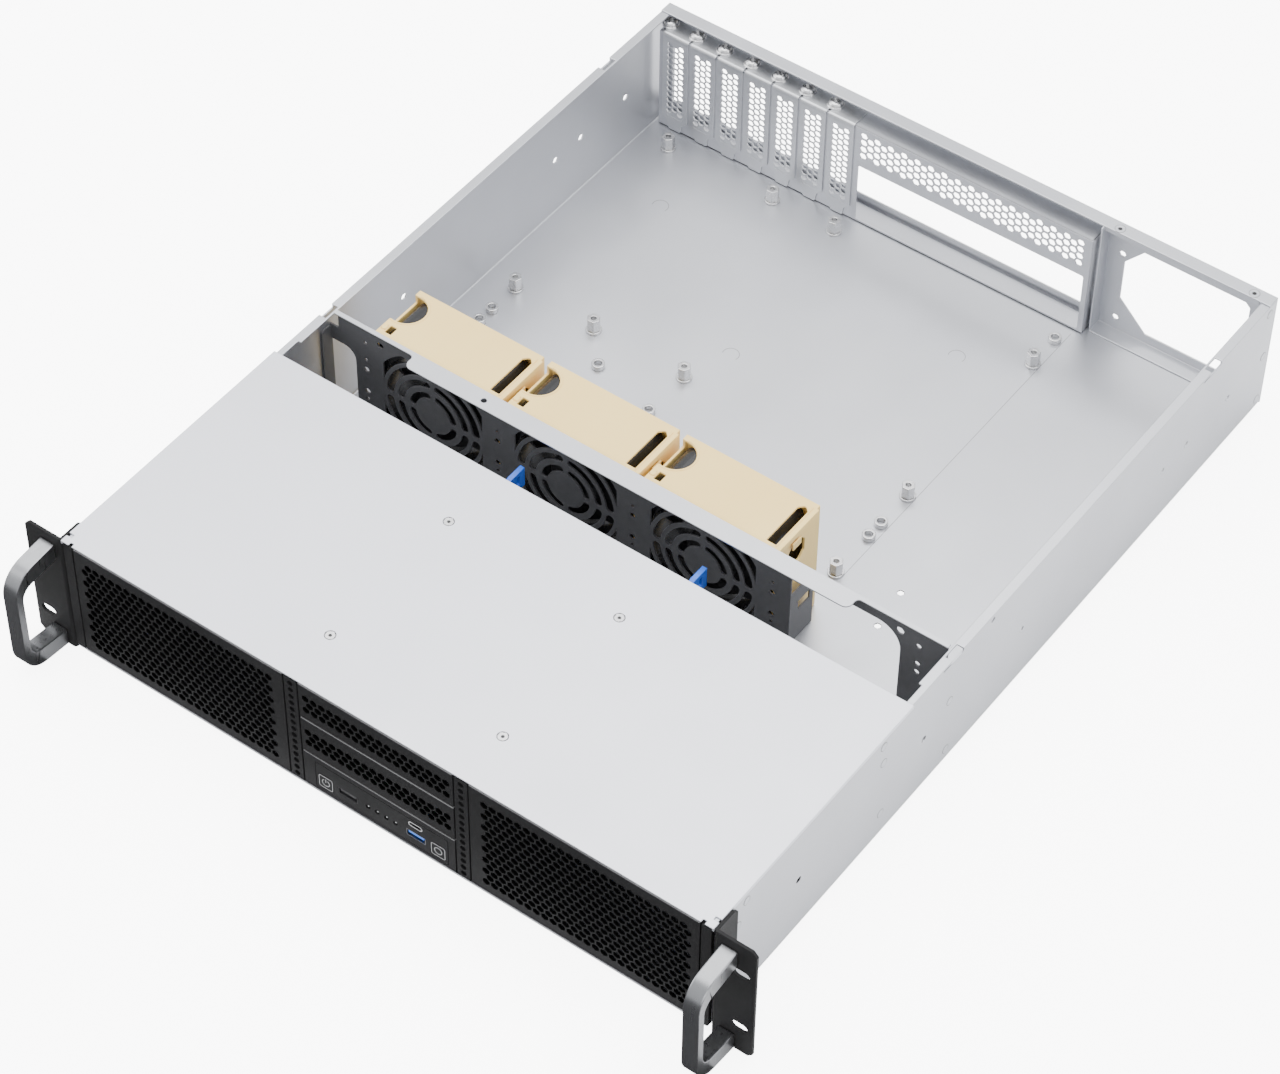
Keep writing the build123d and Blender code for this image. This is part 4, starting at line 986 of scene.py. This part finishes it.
def fan_wall():
    edge, top, step_x, step_z = 212.6, 84.0, 206.3, 72.2
    corners = [(177.4, 1.2), (211.0, 1.2), (edge, 2.8), (edge, step_z), (step_x, step_z), (step_x, top),
               (-step_x, top), (-step_x, step_z), (-edge, step_z), (-edge, 61), (-194.7, 61), (-194.7, 1.2),
               (106.8, 1.2), (106.8, 75.5), (177.4, 75.5)]
    radii = [0, 0, 0, 0, 1, 0, 0, 1, 0, 0, 8, 0, 0, 10, 15]
    loops = [rounded_loop(corners, radii, 8)]
    for x in FAN_X:
        loops += guard_loops(x)
    loops += [circle(176.5, 75.5, 2.5, 20), *[circle(188.5, z, 1.7, 20) for z in (71, 57, 50.3)]]
    loops += [circle(-187, 71.8, 1.1, 16), box_loop(-178.3, -173.7, 74.2, 77.8, 1.7)]
    small = holes(4, 2, 93.9, 31.7, -187, 26.5, 1.1, sides=16)
    wide = holes(4, 2, 93.9, 17.5, -187, 32.8, 1.8, sides=20)
    wall = sheet("wall", loops, WALL_T, standing(WALL_FACE + WALL_T), charcoal_coat, small, wide)
    side = box_loop(214.4, 223.2, 2.8, step_z, 2.0)
    sides = [sheet("side", [side], WALL_T, on_edge(x0), charcoal_coat) for x0 in (-212.6, 211.4)]
    return joined("fan_wall_fine", [wall, *sides])


dressed(fan_wall(), "fan_wall", 0.15)
print("openings in one guard:", len(guard_loops(0)))

# %% [markdown]
# The fans. Each is the usual square black frame with rounded corners, a round bore and four bars to the
# motor, and a wheel of seven swept blades on a hub. The blade is built once, as a thin curved
# skin with its pitch and sweep, and turned round the hub.

# %% Fans
FAN_FRONT = 226.0
FAN_BACK = 262.0
BLADES = 7
BAR_REACH, BAR_HALF = 38.3, 2.5


def fan_frame(node, x):
    outline = centred(x, FAN_Z, 39.7, 39.7, 9.0, 10)
    bore = circle(x, FAN_Z, 38.0, 64)
    bolts = [circle(x + a, FAN_Z + b, 1.8, 16) for a in (-34.5, 34.5) for b in (-34.5, 34.5)]
    parts = [sheet("block", [outline, bore, *bolts], FAN_BACK - FAN_FRONT, standing(FAN_BACK), fan_black)]
    for turn in (45, 135):
        t = math.radians(turn)
        bar = []
        for side, end in ((270, 1), (90, 1), (90, -1), (270, -1)):
            u = math.radians(turn + side)
            bar.append((x + BAR_REACH * math.cos(t) * end + BAR_HALF * math.cos(u),
                        FAN_Z + BAR_REACH * math.sin(t) * end + BAR_HALF * math.sin(u)))
        parts.append(sheet("bar", [bar], 3.0, standing(FAN_BACK), black_skin))
    parts.append(sheet("seat", [circle(x, FAN_Z, 17.0, 40)], 3.2, standing(FAN_BACK), black_skin))
    return joined(node + "_fine", parts)


def blade():
    """One thin blade, from inside the hub to near the duct; millimetres, about its own axis."""
    spans, chords = 7, 7
    points, faces = [], []
    for side in (0.55, -0.55):
        for i in range(spans + 1):
            radius = 15.5 + (35.8 - 15.5) * i / spans
            sweep = 26.0 * (i / spans) ** 1.4
            for j in range(chords + 1):
                s = 2.0 * j / chords - 1.0
                turn = math.radians(sweep + s * (21.0 - 1.5 * i / spans))
                height = -8.0 * s * (1.0 - 0.25 * i / spans) + 1.8 * (1 - s * s) + side
                points.append((radius * math.cos(turn) / 1000, radius * math.sin(turn) / 1000, height / 1000))
    row, sheet_size = chords + 1, (spans + 1) * (chords + 1)
    for i in range(spans):
        for j in range(chords):
            a = i * row + j
            faces.append((a, a + 1, a + row + 1, a + row))
            faces.append((a + sheet_size, a + sheet_size + row, a + sheet_size + row + 1, a + sheet_size + 1))
    rim = [*range(row)] + [i * row + chords for i in range(1, spans + 1)]
    rim += [spans * row + j for j in range(chords - 1, -1, -1)] + [i * row for i in range(spans - 1, 0, -1)]
    for k, a in enumerate(rim):
        b = rim[(k + 1) % len(rim)]
        faces.append((a, a + sheet_size, b + sheet_size, b))
    return tidied(new_object("blade", points, faces=faces))


def fan_rotor(node, x):
    hub = [(0, 12.4), (5.0, 12.4), (5.6, 12.8), (14.0, 12.8), (15.6, 12.4), (16.7, 11.2), (17.0, 9.6),
           (17.0, -13.0), (15.6, -13.0), (15.6, -11.0), (2.0, -11.0), (2.0, -17.7), (0, -17.8)]
    core = lathe(node + "_fine", hub, black_skin, 48)
    part = blade()
    grown(core, wheel, {"Part": part, "Copies": BLADES, "Finish": black_skin})
    bpy.data.objects.remove(part)
    core.data.transform(standing((230.0 + 256.0) / 2, x, FAN_Z) @ TO_METRES.inverted())
    return tidied(core)


for k, x in enumerate(FAN_X, start=1):
    dressed(fan_frame(f"fan_frame_{k}", x), f"fan_frame_{k}", 0.25, 1)
    dressed(fan_rotor(f"fan_rotor_{k}", x), f"fan_rotor_{k}", 0)
print("fans built:", len(FAN_X), "with", BLADES, "blades each")

# %% [markdown]
# Screws, studs and rivets. All are turned or pressed parts that repeat, so each is made once and set on
# its points by the scatter tree, with a random turn where a screw would stop at any angle. The cross in a
# head is sunk by cutting a small cross-shaped punch out of it, and a flat head has a round recess with a
# black disc in it as painted shade, and a painted shadow line round it.

# %% Screws, studs and rivets
def crossed(head, size, width, top, depth):
    """Sinks a cross into the top of a screw head."""
    a, b = size / 2, width / 2
    plus = [(-a, -b), (-b, -b), (-b, -a), (b, -a), (b, -b), (a, -b)]
    plus += [(-x, -y) for x, y in plus]
    place = Matrix.Translation((0, 0, (top - depth) / 1000)) @ TO_METRES
    return cut_away(head, sheet("punch", [plus], depth + 1.0, place, plated_screw))


def flat_head():
    profile = [(0, -1.5), (0.95, -1.5), (0.95, -0.15), (1.15, 0), (2.6, 0), (3.0, -0.25), (1.5, -1.9),
               (1.4, -5.0), (0, -5.2)]
    return lathe("flat_head", profile, plated_screw, 28)


def dark_core():
    """Painted shade for a flat head: a black disc in its recess, and the painted shadow line round it."""
    recess = lathe("recess", [(0, -0.1), (0.93, -0.1), (0.93, -1.45), (0, -1.45)], black_skin, 20)
    line = lathe("line", [(2.95, 0.06), (3.3, 0.06), (3.3, -0.1), (2.95, -0.1), (2.95, 0.06)], black_skin, 28)
    return joined("dark_core", [recess, line])


def washer_head():
    profile = [(0, 3.2), (2.2, 3.1), (3.6, 2.7), (4.3, 1.9), (4.4, 1.0), (4.9, 1.0), (5.4, 0.6), (5.4, 0.0),
               (1.4, 0), (1.4, -2.6), (0, -2.8)]
    return crossed(lathe("washer_head", profile, plated_screw, 32), 5.2, 1.5, 3.2, 2.0)


def socket_head():
    profile = [(0, 2.2), (3.2, 2.2), (3.6, 1.8), (3.6, 0), (2.0, 0), (2.0, -7.8), (0, -8.0)]
    screw = lathe("socket_head", profile, plated_screw, 28)
    screw = crossed(screw, 4.0, 1.0, 2.2, 1.2)
    screw.data.transform(Matrix.Rotation(-QUARTER, 4, "X"))
    return screw


def raised_part(name, loops, height, lift=0.0):
    """A small plated part on the floor, lifted by some millimetres."""
    place = Matrix.Translation((0, 0, lift / 1000)) @ TO_METRES
    return sheet(name, loops, height, place, plated_screw)


def board_stud():
    bore = circle(0, 0, 1.6, 20)
    six = rounded(raised_part("six", [circle(0, 0, 4.27, 6), bore], 8.6, 1.4), 0.35, 2)
    foot = rounded(raised_part("foot", [circle(0, 0, 4.9, 32), bore], 1.4), 0.3, 2)
    return joined("board_stud", [six, foot, raised_part("plug", [circle(0, 0, 1.65, 20)], 6.4, 0.6)])


def press_nut():
    return rounded(raised_part("press_nut", [circle(0, 0, 4.0, 32), circle(0, 0, 2.3, 24)], 3.4), 0.4, 2)


FLOOR = 1.2
COVER_TOP = 85.0
SLOT_SEAT = 77.4
SLOT_PITCH = 20.32
STUDS = ((-190.5, 520), (-66.04, 520), (91.44, 497.14), (-111.76, 520), (-190.5, 365.06), (-66.04, 365.06),
         (91.44, 365.06), (91.44, 292.67), (-132.08, 365.06))
NUTS = ((91.4, 521.4), (-190.5, 342.2), (-111.7, 342.2), (91.4, 338), (91.4, 325.6), (-190.5, 330),
        (-66, 330))
cover_spots = [spot(x, y, COVER_TOP - 0.05) for y in (34.6, 135.0) for x in (-57.1, 57.1)]
slot_spots = [spot(-206.7 + SLOT_PITCH * k, 543.3, SLOT_SEAT) for k in range(7)]
low, high = box_of("handle_screws")[4:]
ear_spots = [spot(side * HANDLE_X, 2.0, z) for side in (-1, 1) for z in (low + 3.6, high - 3.6)]
stud_spots, nut_spots = ([spot(x, y, FLOOR) for x, y in places] for places in (STUDS, NUTS))

heads = on_points("heads", flat_head(), cover_spots, plated_screw, math.tau, 11)
cores = on_points("cores", dark_core(), cover_spots, black_skin)
dressed(joined("cover_screws_fine", [heads, cores]), "cover_screws", 0)
for node, part, spots, spin, seed in (("slot_screws", washer_head, slot_spots, math.tau, 12),
                                      ("handle_screws", socket_head, ear_spots, 0.0, 1),
                                      ("board_studs", board_stud, stud_spots, 1.0, 13),
                                      ("floor_nuts", press_nut, nut_spots, 0.0, 1)):
    dressed(on_points(node + "_fine", part(), spots, plated_screw, spin, seed), node, 0)
print("studs:", len(STUDS), "nuts:", len(NUTS), "slot screws:", len(slot_spots))

# %% [markdown]
# The slot panel. Card brackets and the board's own sockets look out through this recessed sheet. It has
# seven tall windows, a wide opening for the board's port plate and above that a strip of four rows of
# six-sided holes. Its top is bent back as a shelf for the bracket screws, and its right end and foot too.

# %% Slot panel
PANEL_Y = 536.6
SHELF_Z = 76.4
SLOT_X = [-196.7 + SLOT_PITCH * k for k in range(7)]


def slot_panel():
    x0, x1 = -209.4, 101.0
    loops = [box_loop(x0, x1, 1.9, SHELF_Z, 0.5), box_loop(-61.5, 97.5, 3.4, 46.2, 1.2)]
    loops += [box_loop(x - 6.5, x + 6.5, 14.0, 71.4, 0.8) for x in SLOT_X]
    strip = {"across": 9.5, "up": 5.3, "radius": 2.4}
    four = holes(17, 4, x=-58.7, y=55.1, **strip)
    three = holes(16, 3, x=-53.95, y=57.75, **strip)
    face = sheet("face", loops, 1.0, standing(PANEL_Y), zinc_sheet, four, three)
    loops = [box_loop(x0, x1, 535.9, 550.4, 0.8), *[circle(x - 10, 543.3, 1.6, 16) for x in SLOT_X]]
    shelf = sheet("shelf", loops, 1.0, lying(SHELF_Z - 1.0), zinc_sheet)
    foot = sheet("foot", [box_loop(x0, x1, 536.2, 548.9, 0.8)], 1.0, lying(1.9), zinc_sheet)
    end = sheet("end", [box_loop(536.2, 548.9, 1.9, SHELF_Z, 0.8)], 1.0, on_edge(x1 - 1.0), zinc_sheet)
    return joined("io_slot_panel_fine", [face, shelf, foot, end])


dressed(slot_panel(), "io_slot_panel", 0.12)
print("slot windows:", len(SLOT_X))

# %% [markdown]
# The slot covers. A blank bracket closes each slot until a card is fitted. It is bright sheet with three
# columns of six-sided holes, a tab at its top that goes under the screw, and a narrow tongue with soft
# shoulders at its foot, just above the floor. A short pressed line stiffens it where the tongue begins.

# %% Slot covers
COVER_BACK = 535.6


def slot_cover(node, x):
    mid = COVER_BACK - 0.5
    columns = {"across": 8.1, "up": 4.42, "radius": 2.08}
    outer = holes(2, 13, x=x - 4.05, y=16.3, **columns)
    middle = holes(1, 12, x=x, y=18.51, **columns)
    half = [(4.4, 1.8), (5.4, 8.0), (9.35, 11.4), (9.35, 76.2)]
    corners = [(x + a, z) for a, z in half] + [(x - a, z) for a, z in reversed(half)]
    outline = rounded_loop(corners, [1.2, 1.8, 1.8, 0, 0, 1.8, 1.8, 1.2])
    plate = sheet("plate", [outline], 1.0, standing(COVER_BACK), slot_sheet, outer, middle)
    bent = band([(548.4, 76.9), (mid, 76.9), (mid, 74.6)], 1.0, 1.0)
    tab = sheet("tab", [bent], 18.7, on_edge(x - 9.35), slot_sheet)
    crease = band([(x - 5.6, 13.0), (x - 4.7, 11.9), (x + 4.7, 11.9), (x + 5.6, 13.0)], 0.7, 1.2)
    line = sheet("line", [crease], 0.3, standing(COVER_BACK - 1.0), slot_sheet)
    return joined(node + "_fine", [plate, tab, line])


for k, x in enumerate(SLOT_X, start=1):
    dressed(slot_cover(f"slot_cover_{k}", x), f"slot_cover_{k}", 0.1)
print("holes in each slot cover:", 2 * 13 + 12)

# %% [markdown]
# The fan carriers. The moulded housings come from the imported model, with rounded edges. A real moulding has
# a raised rim round its finger notch, a small pressing tab beside the latch window and a stiff lug on its
# outer lip, and these are joined on. The pale rail above the fan wall is a flat strip whose front edge
# steps back near each end in a soft curve.

# %% Fan carriers and rail
HOUSING_TOP = 83.0
NOTCH_R = 11.5


def housing_trim(x):
    """The rim, tab and lug of one carrier, by its fan's middle."""
    notch_x, notch_y = x - 38.1, 250.0
    outer, inner = NOTCH_R + 1.5, NOTCH_R + 0.25
    rim = arc(notch_x, notch_y, outer, -105, 90, 24) + arc(notch_x, notch_y, inner, 90, -105, 24)
    trims = (
        ("rim", rim, 0.7, 0.3, 0.25, 1),
        ("tab", box_loop(x - 41.4, x - 37.9, 229.2, 233.2, 0.8), 1.6, 0.9, 0.35, 2),
        ("lug", box_loop(x + 48.0, x + 49.0, 238.0, 246.0, 0.4), 5.0, 11.0, 0.25, 1),
        ("rail", box_loop(x + 44.4, x + 45.4, 227.0, 262.0, 0.3), 0.8, 0.3, 0.25, 1),
    )
    return [rounded(sheet(name, [loop], thick, lying(HOUSING_TOP - drop), cream_skin), width, segments)
            for name, loop, thick, drop, width, segments in trims]


for k, x in enumerate(FAN_X, start=1):
    node = f"fan_housing_{k}"
    body = rounded(merged_copy(node, cream_skin), 0.45, 2)
    dressed(joined(node + "_fine", [body, *housing_trim(x)]), node, 0)


def wall_rail():
    x0, x1, y0, y1, z0, z1 = box_of("wall_top_rail")
    cut_x, cut_y = 150.0, y0 + 9.2
    front = [(x0, cut_y), (-cut_x, cut_y), (-cut_x, y0), (cut_x, y0), (cut_x, cut_y), (x1, cut_y)]
    outline = rounded_loop([*front, (x1, y1), (x0, y1)], [0, 2.5, 6, 6, 2.5, 0, 0, 0], 8)
    hole = circle(-97.5, 217.6, 1.8, 24)
    strip = sheet("strip", [outline, hole], z1 - z0, lying(z0), zinc_sheet)
    return joined("wall_top_rail_fine", [strip])


dressed(wall_rail(), "wall_top_rail", 0.15)
print("carriers:", len(FAN_X), "rail box:", [round(v, 1) for v in box_of("wall_top_rail")])

# %% [markdown]
# The rest of the case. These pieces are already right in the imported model, and only get their finish and
# softened edges: the tray, the cage behind the bays, the folded sheets and the small levers. The tray also
# gets the rivets of its right side, a seam and three half-cut tabs in its floor, and the rear sheet its two
# dimples. The cage is a plain guess, so its two rear top corners, which the photograph does not show
# behind the cover, are cut away.

# %% Remaining pieces
SLOT_FINISH = {
    "case_steel": (zinc_sheet, 0.35), "black_front": (black_coat, 0.3), "blue_moulding": (blue_skin, 0.3),
    "charcoal_sheet": (charcoal_coat, 0.3), "green_board": (board_green, 0.15),
}
SIDE_FACE = box_of("base_tub")[1]
RIVETS = ((30.4, 74.8), (23.2, 61.2), (152.5, 75.5), (153.6, 61.2), (154.3, 18.4), (216.8, 50.5),
          (217.5, 9.4), (544, 78), (544.6, 43.4), (545.4, 7.6))
TABS = ((-163.6, 475), (-55.3, 397.2), (52.2, 475.6))
seam_shade = finish("seam_shade", (0.20, 0.20, 0.21), (0.26, 0.26, 0.27), (0.4, 0.5),
                    metal=0.6, bump=0.05, size=40)


def shadow_ring(low, high):
    """A thin dark ring between two radii, as a shadow line round a pressed mark."""
    return lathe("ring", [(low, 0.1), (high, 0.1), (high, -0.1), (low, -0.1), (low, 0.1)], seam_shade, 28)


def tray_marks():
    """Rivets on the right side and the fine lines in the floor."""
    profile = [(0, 0.28), (0.9, 0.26), (1.7, 0.16), (2.1, 0.05), (2.4, 0.22), (2.7, 0.0), (2.7, -0.3),
               (0, -0.3)]
    dome, shade = lathe("dome", profile, zinc_sheet, 28), shadow_ring(2.5, 2.9)
    for part in (dome, shade):
        part.data.transform(Matrix.Rotation(QUARTER, 4, "Y"))
    places = [spot(SIDE_FACE, y, z) for y, z in RIVETS]
    marks = [on_points("rivets", dome, places, zinc_sheet),
             on_points("rivet_lines", shade, places, seam_shade)]
    for x, y in TABS:
        ring = arc(x, y, 5.3, 200, -20, 28) + arc(x, y, 4.95, -20, 200, 28)
        marks.append(sheet("tab_line", [ring], 0.06, lying(FLOOR), seam_shade))
    marks.append(sheet("seam", [box_loop(96.0, 96.3, 292.0, 532.0)], 0.05, lying(FLOOR), seam_shade))
    return marks


def rear_dimples():
    places = [spot(112.0, 546.3, COVER_TOP), spot(201.2, 546.7, COVER_TOP)]
    profile = [(0, 0.05), (1.3, 0.05), (1.6, 0.15), (2.9, 0.15), (3.1, 0.05), (3.1, -0.3), (0, -0.3)]
    dish = lathe("dish", profile, zinc_sheet, 28)
    # The black disc at each dimple's middle is painted shade in its hole.
    core = lathe("core", [(0, 0.1), (1.3, 0.1), (1.3, 0.06), (0, 0.06)], black_skin, 20)
    return [on_points("dimples", dish, places, zinc_sheet), on_points("cores", core, places, black_skin),
            on_points("rings", shadow_ring(3.0, 3.3), places, seam_shade)]


def cage_corners(cage):
    for side in (-1, 1):
        corner = box_loop(*sorted((side * 40.0, side * 70.0)), 178.5, 200.0)
        cut_away(cage, sheet("punch", [corner], 30.0, lying(66.0), zinc_sheet))
    return cage


EXTRAS = {"base_tub": tray_marks, "rear_wall": rear_dimples}
for node in sorted(frame["nodes"]):
    if node in FINER:
        continue
    material, width = SLOT_FINISH[SLOT_OF[node]]
    body = merged_copy(node, cover_sheet if node == "front_cover" else material)
    body = rounded(cage_corners(body) if node == "drive_cage" else body, width)
    dressed(joined(node + "_soft", [body, *EXTRAS.get(node, list)()]), node, 0)
print("side face at", round(SIDE_FACE, 2), "mm")
print("dressed pieces:", len(FINER), "of", len(frame["nodes"]))
